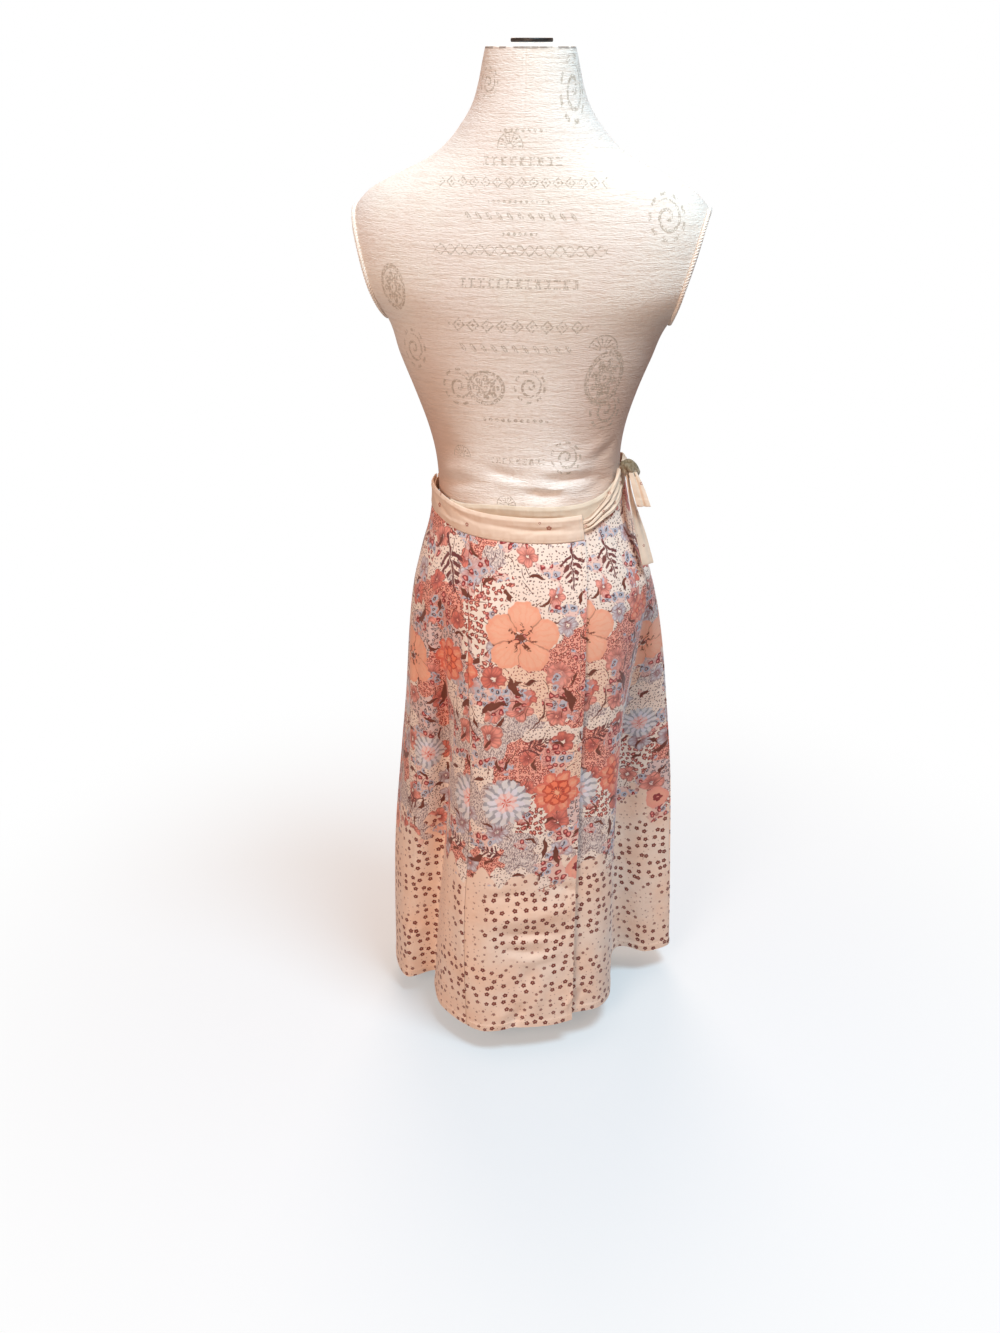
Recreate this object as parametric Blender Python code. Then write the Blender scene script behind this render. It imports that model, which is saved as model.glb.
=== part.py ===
"""A wrap skirt tied at the wearer's right side, worn on a limbless dress form with a low stand.

Metres, +Z up.  The wearer faces +Y and the wearer's right side is +X.  The origin is the
middle of the stand's underside.

A place on the cloth has three coordinates.  turn is degrees round the body: 0 at the centre
back, 90 at the wearer's right side, 180 at the centre front, and it runs on past 360 as the
wrap goes round a second time.  height is metres above the floor.  lift is metres out of the
cloth's outer face, along its normal.
"""

import math

import bmesh
import bpy
import numpy as np
from mathutils import Matrix, Vector

# ------------------------------------------------------------------ driving dimensions

CLOTH = 0.0012  # printed cotton with its turned edges
SEAM_GAP = 0.0004  # between pieces that meet at a seam
PLY_GAP = 0.0010  # between the two plies of the wrap
HEM_HEIGHT = 0.032
HIP_HEIGHT = 0.635  # the folds begin here
OPEN_HEIGHT = 0.230  # and are fully open here
HEM_HANG_IN = 0.005  # the under ply hangs this much further in at the hem
UNDER_HEM_RISE = 0.005

BAND_WIDTH = 0.028
BAND_THICKNESS = 0.0020
UNDER_BAND_RISE = 0.012  # the under band shows this much above the over band
LEVEL_UP_TO, RISEN_FROM = -55.0, -5.0  # and comes up to that height between these turns
UNDER_FROM, UNDER_TO = 100.0, 200.0  # the under ply comes out to be the outer one here

TIE_WIDTH = 0.020
TIE_THICKNESS = 0.0014
TIE_CLEARANCE = 0.0005
TIE_RIDGES, TIE_RIDGE_DEPTH = 3, 0.0016  # the over tie is crushed into ridges
TIE_CRUSHED_WIDTH, TIE_CRUSHED_BY = 0.013, 0.2
SLOT = 0.0120  # the left side seam stays open this wide in the band, for the tie

BASE_RADIUS, BASE_THICKNESS = 0.080, 0.014
HUB_RADIUS, HUB_HEIGHT = 0.022, 0.026
POLE_RADIUS = 0.0125
NECK_PLATE_RADIUS, NECK_PLATE_THICKNESS, NECK_PLATE_FORWARD = 0.022, 0.004, 0.010
HUB_TOP_RADIUS = 0.016
STAND_GAP = 0.0003

COLUMN = 0.0125  # one column of cloth, measured along the hem
ROWS = 14
BAND_COLUMN = 5.0  # one column of the band, in degrees of turn
BAND_ROWS = 4

# Level sections of the cloth before it folds, from above the waist to the hem.
CLOTH_SECTIONS = (
    # height, half width, back, front
    (0.780, 0.1140, 0.0880, 0.0920),
    (0.740, 0.1155, 0.0890, 0.0935),
    (0.700, 0.1215, 0.0960, 0.0990),
    (0.660, 0.1345, 0.1060, 0.1050),
    (0.610, 0.1490, 0.1160, 0.1120),
    (0.540, 0.1590, 0.1220, 0.1180),
    (0.425, 0.1680, 0.1250, 0.1250),
    (0.300, 0.1790, 0.1285, 0.1320),
    (0.180, 0.1870, 0.1310, 0.1380),
    (0.032, 0.1920, 0.1330, 0.1450),
)

# How far the body stands towards +X at each height: the hips to the right, the waist to the left.
SWAY = (
    # height, towards +X
    (1.2133, 0.0),
    (0.9650, 0.0),
    (0.9000, -0.0055),
    (0.8380, -0.0060),
    (0.7800, -0.0036),
    (0.7180, 0.0008),
    (0.6400, 0.0038),
    (0.5700, 0.0056),
    (0.4500, 0.0062),
    (0.3400, 0.0046),
    (0.2400, 0.0012),
    (0.1800, 0.0),
    (0.0, 0.0),
)

# The hem seen from above, one row for each crest, shoulder and valley, in order of turn.
HEM_FOLDS = (
    # name, towards +X, towards +Y, rise above the hem height, lean of the fold at the hip
    ("back crest", -0.0020, -0.1320, 0.006, 0.0),
    ("back crest right", 0.0420, -0.1180, 0.004, 0.0),
    ("wrap edge", 0.0750, -0.1040, 0.007, 0.0),
    ("wrap edge roll", 0.1070, -0.0840, 0.004, 4.0),
    ("right flute shoulder", 0.1215, -0.0530, 0.004, 8.0),
    ("right flute wall", 0.1195, -0.0060, 0.008, 10.0),
    ("right flute valley", 0.1230, 0.0390, 0.013, 10.0),
    ("right side crest", 0.1600, 0.0500, 0.000, 6.0),
    ("right side", 0.1970, 0.0780, 0.002, 0.0),
    ("front right crest", 0.1600, 0.1310, 0.002, 0.0),
    ("front right valley", 0.1030, 0.1240, 0.006, 0.0),
    ("front crest", 0.0480, 0.1500, 0.000, 0.0),
    ("front valley", -0.0150, 0.1390, 0.004, 0.0),
    ("front left crest", -0.0780, 0.1420, 0.000, 0.0),
    ("front left valley", -0.1220, 0.1130, 0.006, 0.0),
    ("left front side", -0.1760, 0.0960, 0.000, 0.0),
    ("left side", -0.1980, 0.0300, 0.000, 0.0),
    ("left side crest", -0.1700, -0.0340, -0.004, 10.0),
    ("left flute valley", -0.1310, -0.0230, 0.002, 28.0),
    ("left flute wall", -0.1260, -0.0530, 0.002, 28.0),
    ("left flute shoulder", -0.1060, -0.0970, 0.001, 12.0),
    ("back crest left", -0.0480, -0.1360, 0.000, 0.0),
)

# Height of the seam under the over band.
WAIST_SEAM = (
    # turn, height
    (0.0, 0.6985),
    (36.0, 0.6992),
    (55.0, 0.7070),
    (70.0, 0.7195),
    (80.0, 0.7310),
    (95.0, 0.7370),
    (130.0, 0.7240),
    (180.0, 0.7160),
    (225.0, 0.7150),
    (270.0, 0.7150),
    (300.0, 0.7105),
    (325.0, 0.7020),
)

# Seams and free edges of the skirt, as turns at the hem, the hip and the waist.
SEAM_LEVELS = (0.0, 0.84, 1.0)
UNDER_EDGE = (-22.0, -36.0, -48.0)
RIGHT_SEAM = (104.0, 102.0, 100.0)
LEFT_SEAM = (266.0, 263.0, 260.0)
BACK_SEAM = (338.0, 335.0, 330.0)
WRAP_EDGE = (384.5, 389.5, 396.0)

# Level sections of the dress form.  Square is 2 for an ellipse and more for a boxier section.
FORM_SECTIONS = (
    # height, half width, back, front, square
    (1.2050, 0.0470, 0.0360, 0.0600, 2.00),
    (1.1900, 0.0505, 0.0400, 0.0600, 2.00),
    (1.1700, 0.0550, 0.0450, 0.0600, 2.00),
    (1.1500, 0.0620, 0.0510, 0.0600, 2.00),
    (1.1300, 0.0750, 0.0570, 0.0600, 2.00),
    (1.1100, 0.0930, 0.0620, 0.0610, 2.05),
    (1.0950, 0.1150, 0.0660, 0.0630, 2.10),
    (1.0800, 0.1480, 0.0700, 0.0660, 2.15),
    (1.0650, 0.1760, 0.0740, 0.0700, 2.30),
    (1.0450, 0.1930, 0.0790, 0.0760, 2.50),
    (1.0150, 0.1990, 0.0850, 0.0850, 2.60),
    (0.9700, 0.1930, 0.0890, 0.0990, 2.50),
    (0.9300, 0.1575, 0.0880, 0.1110, 2.30),
    (0.8900, 0.1422, 0.0840, 0.1130, 2.20),
    (0.8500, 0.1267, 0.0790, 0.1000, 2.15),
    (0.8100, 0.1138, 0.0740, 0.0880, 2.10),
    (0.7750, 0.1075, 0.0730, 0.0830, 2.10),
    (0.7400, 0.1075, 0.0770, 0.0840, 2.10),
    (0.7000, 0.1120, 0.0850, 0.0870, 2.10),
    (0.6600, 0.1230, 0.0950, 0.0930, 2.10),
    (0.6300, 0.1300, 0.1010, 0.0960, 2.10),
    (0.6000, 0.1300, 0.1010, 0.0950, 2.10),
    (0.5700, 0.1210, 0.0950, 0.0890, 2.10),
    (0.5450, 0.1080, 0.0850, 0.0800, 2.10),
    (0.5300, 0.0900, 0.0720, 0.0680, 2.10),
)
FORM_TOP, FORM_BOTTOM = FORM_SECTIONS[0][0], FORM_SECTIONS[-1][0]
FORM_TURNS, FORM_RINGS = 44, 36

# The shoulder ends are cut flat by a plate that leans in towards the waist.
PLATE_TOP_HEIGHT, PLATE_TOP_X = 1.048, 0.1905
PLATE_LEAN = 0.285  # metres in for each metre down
PLATE_BOTTOM = 0.850
FORM_CAP = 0.6  # the ring inside the rim of each end, as a share of the rim
NECK_BULGE = 0.004

# The knot sits just behind the right side, where the two ties meet.
KNOT_TURN, KNOT_HEIGHT = 76.0, 0.7675
KNOT_DEPTH, KNOT_WIDTH, KNOT_TALL = 0.0130, 0.0115, 0.0090  # half sizes
KNOT_TIP = 40.0  # degrees that it tips down as it stands out
KNOT_CLEAR = 0.0118  # from the band to its middle
KNOT_GROOVES, KNOT_GROOVE_DEPTH = 3, 0.10

# The over tie's lower and upper edges, from the end of the band up to the knot.
TIE_OVER_EDGES = (
    # turn, lower edge, upper edge
    (36.0, 0.7065, 0.7215),
    (41.0, 0.7105, 0.7240),
    (50.0, 0.7175, 0.7370),
    (59.0, 0.7230, 0.7490),
    (65.0, 0.7290, 0.7580),
    (71.0, 0.7420, 0.7700),
)

# Middle lines of the tails.  Facing is the turn that the ribbon's flat side faces.
TAIL_LONG = (
    # x, y, height, width, facing
    (0.1172, -0.0295, 0.7575, 0.0090, 88.0),
    (0.1219, -0.0319, 0.7362, 0.0110, 75.0),
    (0.1284, -0.0341, 0.7137, 0.0140, 62.0),
    (0.1349, -0.0345, 0.6909, 0.0160, 50.0),
    (0.1436, -0.0357, 0.6579, 0.0170, 44.0),
)
TAIL_SHORT = (
    # x, y, height, width, facing
    (0.1268, -0.0380, 0.7575, 0.0110, 20.0),
    (0.1316, -0.0393, 0.7455, 0.0145, 15.0),
    (0.1364, -0.0405, 0.7290, 0.0160, 10.0),
)

MATERIALS = {
    # name: colour, roughness, metallic
    "printed_cotton": ((0.80, 0.52, 0.42), 0.85, 0.0),
    "plain_cotton": ((0.83, 0.70, 0.57), 0.85, 0.0),
    "form_cover": ((0.85, 0.75, 0.68), 0.90, 0.0),
    "dark_metal": ((0.06, 0.06, 0.07), 0.45, 0.8),
}

# ------------------------------------------------------------------ curves through tables


def smooth(share):
    """An even start and stop between 0 and 1."""
    share = min(1.0, max(0.0, share))
    return share * share * (3 - 2 * share)


def mix(a, b, share):
    return a + (b - a) * share


def through(knots, values, at):
    """A smooth curve through values at rising knots (Catmull-Rom), held level past the ends."""
    at = min(max(at, knots[0]), knots[-1])
    i = min(int(np.searchsorted(knots, at, side="right")) - 1, len(knots) - 2)
    before, after = max(i - 1, 0), min(i + 2, len(knots) - 1)
    step = knots[i + 1] - knots[i]
    slope_in = (values[i + 1] - values[before]) / (knots[i + 1] - knots[before]) * step
    slope_out = (values[after] - values[i]) / (knots[after] - knots[i]) * step
    t = (at - knots[i]) / step
    return (
        (2 * t**3 - 3 * t**2 + 1) * values[i]
        + (t**3 - 2 * t**2 + t) * slope_in
        + (3 * t**2 - 2 * t**3) * values[i + 1]
        + (t**3 - t**2) * slope_out
    )


def section_at(table, height):
    """A level section's sizes at any height, in the order of its table's columns."""
    rows = np.array(table)[::-1]
    return [float(through(rows[:, 0], rows[:, k], height)) for k in range(1, rows.shape[1])]


def round_and_round(turns, values):
    """A table over one full turn, with two rows repeated at each end so that it closes."""
    turns, values = np.array(turns, float), np.array(values, float)
    knots = np.concatenate([turns[-2:] - 360, turns, turns[:2] + 360])
    return knots, np.concatenate([values[-2:], values, values[:2]])


def hem_fold_turns():
    """The turn of each hem row, in proportion to its distance along the hem."""
    plan = np.array([(row[1], row[2]) for row in HEM_FOLDS])
    lengths = np.linalg.norm(np.roll(plan, -1, axis=0) - plan, axis=1)
    return np.concatenate([[0], np.cumsum(lengths)[:-1]]) / lengths.sum() * 360


SEAM_CURVE = round_and_round(*zip(*WAIST_SEAM))
HEM_TURNS = hem_fold_turns()
HEM_X = round_and_round(HEM_TURNS, [row[1] for row in HEM_FOLDS])
HEM_Y = round_and_round(HEM_TURNS, [row[2] for row in HEM_FOLDS])
HEM_RISE = round_and_round(HEM_TURNS, [row[3] for row in HEM_FOLDS])
HEM_LEAN = round_and_round(HEM_TURNS, [row[4] for row in HEM_FOLDS])


def sway(height):
    return section_at(SWAY, height)[0]



# ------------------------------------------------------------------ the cloth's surface


def oval(half_width, back, front, turn, square=2.0):
    """A point of a level section: an ellipse, or a boxier curve, with its own back and front."""
    sine, cosine = math.sin(math.radians(turn)), math.cos(math.radians(turn))
    power = 2.0 / square
    depth = back if cosine > 0 else front
    across = half_width * math.copysign(abs(sine) ** power, sine)
    return across, -depth * math.copysign(abs(cosine) ** power, cosine)


def on_top(turn):
    """0 where the cloth is the under ply of the wrap, 1 where it is the outer one."""
    return smooth((turn - UNDER_FROM) / (UNDER_TO - UNDER_FROM))


def seam_height(turn):
    """Height of the seam between band and skirt."""
    risen = smooth((turn - LEVEL_UP_TO) / (RISEN_FROM - LEVEL_UP_TO)) * (1 - on_top(turn))
    return float(through(*SEAM_CURVE, turn % 360)) + UNDER_BAND_RISE * risen


def hem_height(turn):
    rise = float(through(*HEM_RISE, turn % 360))
    return HEM_HEIGHT + rise + UNDER_HEM_RISE * (1 - on_top(turn))


def opening(height):
    """How far the folds have opened: 0 at the hip and above, 1 from the knee down."""
    share = (HIP_HEIGHT - height) / (HIP_HEIGHT - OPEN_HEIGHT)
    return math.sin(math.pi / 2 * min(1.0, max(0.0, share)))


def face_point(turn, height):
    """The cloth's outer face before the wrap's plies are set apart.

    It is the level section there, plus how far the hem's folds depart from the hem's own
    section.  A fold that leans is looked up to one side, and its departure is turned to suit.
    """
    around = turn % 360
    down = (HIP_HEIGHT - height) / (HIP_HEIGHT - HEM_HEIGHT)
    lean = float(through(*HEM_LEAN, around)) * (1 - min(1.0, max(0.0, down)))
    folds = (around - lean) % 360
    x, y = oval(*section_at(CLOTH_SECTIONS, height), around)
    hem_x, hem_y = oval(*CLOTH_SECTIONS[-1][1:], folds)
    out = Vector((float(through(*HEM_X, folds)) - hem_x, float(through(*HEM_Y, folds)) - hem_y))
    out.rotate(Matrix.Rotation(math.radians(lean), 2))
    share = opening(height)
    return Vector((x + share * out.x + sway(height), y + share * out.y, height))


def cloth_point(turn, height, lift=0.0):
    """A point of the worn cloth, with the under ply set in below the outer one."""
    turn_step, height_step = 0.4, 0.004  # how far to either side the slope is taken
    along = face_point(turn + turn_step, height) - face_point(turn - turn_step, height)
    up = face_point(turn, height + height_step) - face_point(turn, height - height_step)
    set_in = CLOTH + PLY_GAP + HEM_HANG_IN * opening(height)
    lift -= set_in * (1 - on_top(turn))
    return face_point(turn, height) + along.cross(up).normalized() * lift


def hem_columns(start, end):
    """Shares between two turns that cut the hem into columns of equal length."""
    count = 200
    turns = [mix(start, end, i / count) for i in range(count + 1)]
    points = [cloth_point(turn, HEM_HEIGHT) for turn in turns]
    lengths = [0.0]
    for a, b in zip(points, points[1:]):
        lengths.append(lengths[-1] + (b - a).length)
    columns = max(2, round(lengths[-1] / COLUMN))
    wanted = [lengths[-1] * i / columns for i in range(columns + 1)]
    return [float(np.interp(w, lengths, np.linspace(0, 1, count + 1))) for w in wanted]


def gap_turn(turn, gap):
    """Degrees of turn that span this much of the waist."""
    half_width, back, front = section_at(CLOTH_SECTIONS, seam_height(turn))
    return math.degrees(gap / min(half_width, back, front))


# ------------------------------------------------------------------ making solids


def clear_scene():
    for obj in list(bpy.data.objects):
        bpy.data.objects.remove(obj)


def material(name):
    found = bpy.data.materials.get(name)
    if found:
        return found
    colour, roughness, metallic = MATERIALS[name]
    made = bpy.data.materials.new(name)
    made.use_nodes = True
    shader = made.node_tree.nodes["Principled BSDF"]
    shader.inputs["Base Color"].default_value = (*colour, 1)
    shader.inputs["Roughness"].default_value = roughness
    shader.inputs["Metallic"].default_value = metallic
    return made


def add_object(name, bm, material_name, collection):
    bmesh.ops.recalc_face_normals(bm, faces=bm.faces)
    mesh = bpy.data.meshes.new(name)
    bm.to_mesh(mesh)
    bm.free()
    mesh.materials.append(material(material_name))
    mesh.shade_smooth()
    mesh.set_sharp_from_angle(angle=math.radians(50))
    made = bpy.data.objects.new(name, mesh)
    collection.objects.link(made)
    return made


def add_wall(name, columns, rows, place, thickness, material_name, collection):
    """A closed wall of cloth.  place(column, row, lift) gives each point, for shares 0 to 1."""
    bm = bmesh.new()
    bmesh.ops.create_grid(bm, x_segments=len(columns) - 1, y_segments=rows, size=0.5)
    share = {vert: (vert.co.x + 0.5, vert.co.y + 0.5) for vert in bm.verts}
    outer = list(bm.verts)
    bmesh.ops.extrude_face_region(bm, geom=list(bm.faces), use_keep_orig=True)
    inner = [vert for vert in bm.verts if vert not in share]
    for vert in inner:
        share[vert] = (vert.co.x + 0.5, vert.co.y + 0.5)
    last = len(columns) - 1
    for lift, verts in ((0.0, outer), (-thickness, inner)):
        for vert in verts:
            across, down = share[vert]
            vert.co = place(columns[round(across * last)], down, lift)
    return add_object(name, bm, material_name, collection)


def add_ball(name, segments, rings, place, material_name, collection):
    """A closed round body.  place(turn, level) gives each point, level 0 at the top."""
    bm = bmesh.new()
    bmesh.ops.create_uvsphere(bm, u_segments=segments, v_segments=rings, radius=1.0)
    for vert in bm.verts:
        turn = math.degrees(math.atan2(vert.co.x, -vert.co.y))
        level = math.acos(max(-1.0, min(1.0, vert.co.z))) / math.pi
        vert.co = place(turn, level)
    return add_object(name, bm, material_name, collection)


# ------------------------------------------------------------------ skirt


def add_skirt_panel(name, left, right, collection, free_left=False, free_right=False):
    """One cut piece of the skirt between two seams or free edges, whose turns are as above."""

    def place(column, row, lift):
        start = through(SEAM_LEVELS, left, row)
        end = through(SEAM_LEVELS, right, row)
        start += 0 if free_left else gap_turn(start, SEAM_GAP / 2)
        end -= 0 if free_right else gap_turn(end, SEAM_GAP / 2)
        turn = mix(start, end, column)
        top = seam_height(turn) - SEAM_GAP
        return cloth_point(turn, mix(hem_height(turn), top, row), lift)

    columns = hem_columns(left[0], right[0])
    add_wall(name, columns, ROWS, place, CLOTH, "printed_cotton", collection)


def add_skirt(collection):
    add_skirt_panel("panel_under_back", UNDER_EDGE, RIGHT_SEAM, collection, free_left=True)
    add_skirt_panel("panel_front", RIGHT_SEAM, LEFT_SEAM, collection)
    add_skirt_panel("panel_left_back", LEFT_SEAM, BACK_SEAM, collection)
    add_skirt_panel("panel_over_back", BACK_SEAM, WRAP_EDGE, collection, free_right=True)


# ------------------------------------------------------------------ band and ties


def even(count):
    return [i / count for i in range(count + 1)]


def add_band(name, start, end, collection):
    """A length of waistband that stands on the seam, a little prouder than the cloth."""
    proud = (BAND_THICKNESS - CLOTH) / 2
    columns = even(round((end - start) / BAND_COLUMN))

    def place(column, row, lift):
        turn = mix(start, end, column)
        height = seam_height(turn) + BAND_WIDTH * row
        return cloth_point(turn, height, lift + proud)

    add_wall(name, columns, BAND_ROWS, place, BAND_THICKNESS, "plain_cotton", collection)


def add_bands(collection):
    half_seam = gap_turn(RIGHT_SEAM[-1], SEAM_GAP / 2)
    half_slot = gap_turn(LEFT_SEAM[-1], SLOT / 2)
    add_band("band_under", UNDER_EDGE[-1], RIGHT_SEAM[-1] - half_seam, collection)
    add_band("band_front", RIGHT_SEAM[-1] + half_seam, LEFT_SEAM[-1] - half_slot, collection)
    add_band("band_over", LEFT_SEAM[-1] + half_slot, WRAP_EDGE[-1], collection)


def knot_centre():
    lift = (BAND_THICKNESS - CLOTH) / 2 + TIE_CLEARANCE + KNOT_CLEAR
    return cloth_point(KNOT_TURN, KNOT_HEIGHT, lift)


def add_knot(collection):
    centre = knot_centre()
    out, tip = math.radians(KNOT_TURN), math.radians(KNOT_TIP)
    level = Vector((math.sin(out), -math.cos(out), 0))
    sideways = Vector((math.cos(out), math.sin(out), 0))
    upright = Vector((0, 0, 1))
    outward = level * math.cos(tip) - upright * math.sin(tip)
    upward = upright * math.cos(tip) + level * math.sin(tip)

    def place(turn, level):
        """Level runs along the band, so the grooves run up and down like wrapped cloth."""
        around, along = math.radians(turn), math.pi * level
        groove = 1 - KNOT_GROOVE_DEPTH * (0.5 - 0.5 * math.cos(2 * along * KNOT_GROOVES))
        thick = math.sin(along) * groove
        return (
            centre
            + sideways * KNOT_WIDTH * math.cos(along)
            + outward * KNOT_DEPTH * thick * math.sin(around)
            + upward * KNOT_TALL * thick * math.cos(around)
        )

    add_ball("knot", 16, 12, place, "plain_cotton", collection)


def add_tie_over(collection):
    """From the over band's end to the knot, crushed into ridges as it is pulled tight."""
    start = WRAP_EDGE[-1] - 360 + gap_turn(WRAP_EDGE[-1], SEAM_GAP)
    end = KNOT_TURN - gap_turn(KNOT_TURN, KNOT_WIDTH + TIE_CLEARANCE)
    on_band = (BAND_THICKNESS - CLOTH) / 2 + TIE_CLEARANCE + TIE_THICKNESS
    turns, lower, upper = zip(*TIE_OVER_EDGES)

    def place(column, row, lift):
        turn = mix(start, end, column)
        crushed = smooth(column / TIE_CRUSHED_BY)
        height = mix(float(through(turns, lower, turn)), float(through(turns, upper, turn)), row)
        ridge = TIE_RIDGE_DEPTH * crushed * (0.5 - 0.5 * math.cos(2 * math.pi * TIE_RIDGES * row))
        return cloth_point(turn, height, on_band + ridge + lift)

    rows = 4 * TIE_RIDGES
    add_wall("tie_over", even(12), rows, place, TIE_THICKNESS, "plain_cotton", collection)


def add_tie_front(collection):
    """From the under band's end, out through the slot, round the front and to the knot."""
    start = UNDER_EDGE[-1] + 360 - gap_turn(UNDER_EDGE[-1], SEAM_GAP)
    slot = LEFT_SEAM[-1]
    half_slot = gap_turn(slot, SLOT / 2)
    end = KNOT_TURN + gap_turn(KNOT_TURN, KNOT_WIDTH + TIE_CLEARANCE)
    proud = (BAND_THICKNESS - CLOTH) / 2
    behind = proud - CLOTH - PLY_GAP
    before = proud + TIE_CLEARANCE + TIE_THICKNESS

    def place(column, row, lift):
        turn = mix(start, end, column)
        out = smooth((slot + half_slot - turn) / (2 * half_slot))
        along_band = seam_height(turn) + BAND_WIDTH / 2 + TIE_WIDTH * (row - 0.5)
        at_knot = KNOT_HEIGHT + TIE_CRUSHED_WIDTH * (row - 0.5)
        height = mix(along_band, at_knot, smooth(4 * column - 3))
        return cloth_point(turn, height, mix(behind, before, out) + lift)

    in_slot, half_span = (start - slot) / (start - end), half_slot / (start - end)
    near_slot = [in_slot + half_span * step / 2 for step in range(-4, 5)]
    rest = [share for share in even(36) if abs(share - in_slot) > 2.6 * half_span]
    columns = sorted(near_slot + rest)
    add_wall("tie_front", columns, 2, place, TIE_THICKNESS, "plain_cotton", collection)


def add_tail(name, table, collection):
    """A free end of a tie: a flat ribbon along a middle line."""
    line = np.array(table)
    knots = np.linspace(0, 1, len(line))

    def place(column, row, lift):
        x, y, height, width, facing = (float(through(knots, line[:, k], column)) for k in range(5))
        side = math.radians(facing)
        across = Vector((math.cos(side), math.sin(side), 0))
        out = Vector((math.sin(side), -math.cos(side), 0))
        return Vector((x, y, height)) + across * width * (row - 0.5) + out * lift

    add_wall(name, even(10), 3, place, TIE_THICKNESS, "plain_cotton", collection)


def add_ties(collection):
    add_knot(collection)
    add_tie_over(collection)
    add_tie_front(collection)
    add_tail("tail_long", TAIL_LONG, collection)
    add_tail("tail_short", TAIL_SHORT, collection)


# ------------------------------------------------------------------ dress form and stand


def form_point(turn, height, inward=1.0):
    """A point of the form's cover, or a share of the way to it, with flat shoulder ends."""
    half_width, back, front, square = section_at(FORM_SECTIONS, height)
    x, y = oval(half_width, back, front, turn, square)
    plate = PLATE_TOP_X - PLATE_LEAN * (PLATE_TOP_HEIGHT - height)
    if PLATE_BOTTOM < height < PLATE_TOP_HEIGHT:
        x = math.copysign(min(abs(x), plate), x)
    return Vector((x * inward + sway(height), y * inward, height))


def add_form(collection):
    heights = np.linspace(FORM_TOP, FORM_BOTTOM, FORM_RINGS - 3)

    def place(turn, level):
        ring = round(level * FORM_RINGS)
        if ring < 2:
            return form_point(turn, FORM_TOP, FORM_CAP * ring) + Vector((0, 0, NECK_BULGE))
        if ring > FORM_RINGS - 2:
            return form_point(turn, FORM_BOTTOM, FORM_CAP * (FORM_RINGS - ring))
        return form_point(turn, float(heights[ring - 2]))

    add_ball("form_torso", FORM_TURNS, FORM_RINGS, place, "form_cover", collection)


def add_disc(name, radius, bottom, top, collection, segments=48, top_radius=None):
    """An upright round piece about the form's axis, straight or tapered."""
    bm = bmesh.new()
    bmesh.ops.create_cone(
        bm,
        cap_ends=True,
        segments=segments,
        radius1=radius,
        radius2=radius if top_radius is None else top_radius,
        depth=top - bottom,
        matrix=Matrix.Translation((0, 0, (top + bottom) / 2)),
    )
    return add_object(name, bm, "dark_metal", collection)


def add_stand(collection):
    hub_top = BASE_THICKNESS + STAND_GAP + HUB_HEIGHT
    add_disc("stand_base", BASE_RADIUS, 0.0, BASE_THICKNESS, collection, 64)
    add_disc(
        "stand_hub", HUB_RADIUS, BASE_THICKNESS + STAND_GAP, hub_top, collection, 32, HUB_TOP_RADIUS
    )
    add_disc("stand_pole", POLE_RADIUS, hub_top + STAND_GAP, FORM_BOTTOM - STAND_GAP, collection, 24)
    plate_bottom = FORM_TOP + NECK_BULGE + STAND_GAP
    plate = add_disc(
        "neck_plate", NECK_PLATE_RADIUS, plate_bottom, plate_bottom + NECK_PLATE_THICKNESS, collection
    )
    plate.data.transform(Matrix.Translation((0, NECK_PLATE_FORWARD, 0)))


def main():
    clear_scene()
    collection = bpy.data.collections.new("wrap_skirt_on_form")
    bpy.context.scene.collection.children.link(collection)
    add_skirt(collection)
    add_bands(collection)
    add_ties(collection)
    add_form(collection)
    add_stand(collection)


main()
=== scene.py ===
# %% [markdown]
# # A wrap skirt on a dress form
#
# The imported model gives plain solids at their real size.  This lesson dresses them: printed
# cotton panels with their folds and creases, a crushed tie with its knot and tails, the woven
# cover of the dress form with its braided armholes, and the low metal stand under it.
# Everything is in metres with +Z up.  The wearer faces +Y and the right side is +X.

# %% Load the frame that every piece is built on
import math

import bmesh
import bpy
import numpy as np
from mathutils import Matrix, Vector


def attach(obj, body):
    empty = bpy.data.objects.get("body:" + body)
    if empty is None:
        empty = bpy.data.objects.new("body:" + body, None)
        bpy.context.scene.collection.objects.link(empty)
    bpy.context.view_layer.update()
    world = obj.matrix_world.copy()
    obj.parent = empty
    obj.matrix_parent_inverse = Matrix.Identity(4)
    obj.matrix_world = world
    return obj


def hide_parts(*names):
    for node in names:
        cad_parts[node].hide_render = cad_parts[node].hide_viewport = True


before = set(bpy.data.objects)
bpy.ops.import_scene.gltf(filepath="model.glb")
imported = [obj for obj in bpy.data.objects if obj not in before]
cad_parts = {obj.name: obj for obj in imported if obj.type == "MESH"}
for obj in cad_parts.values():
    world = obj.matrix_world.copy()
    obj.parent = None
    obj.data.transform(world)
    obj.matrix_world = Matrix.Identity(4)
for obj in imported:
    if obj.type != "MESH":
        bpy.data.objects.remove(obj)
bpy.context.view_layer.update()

print("nodes:", len(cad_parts))

# %% [markdown]
# ## The studio
#
# A product picture needs little: a pale floor that runs out of sight, a few large soft lamps and
# an even sky.  The camera stands behind the wearer at neck height and looks down, so the upright
# lines draw together towards the hem.

# %% Camera
CAMERA_DISTANCE = 1.515  # from the form's axis, level
CAMERA_HEIGHT = 1.21
CAMERA_ROUND = 8.0  # degrees towards +X from straight behind
CAMERA_DOWN = 25.1
SENSOR, LENS = 36.0, 36.05
SIDEWAYS_SHIFT = -0.0229  # the object stands a little right of the middle


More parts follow.
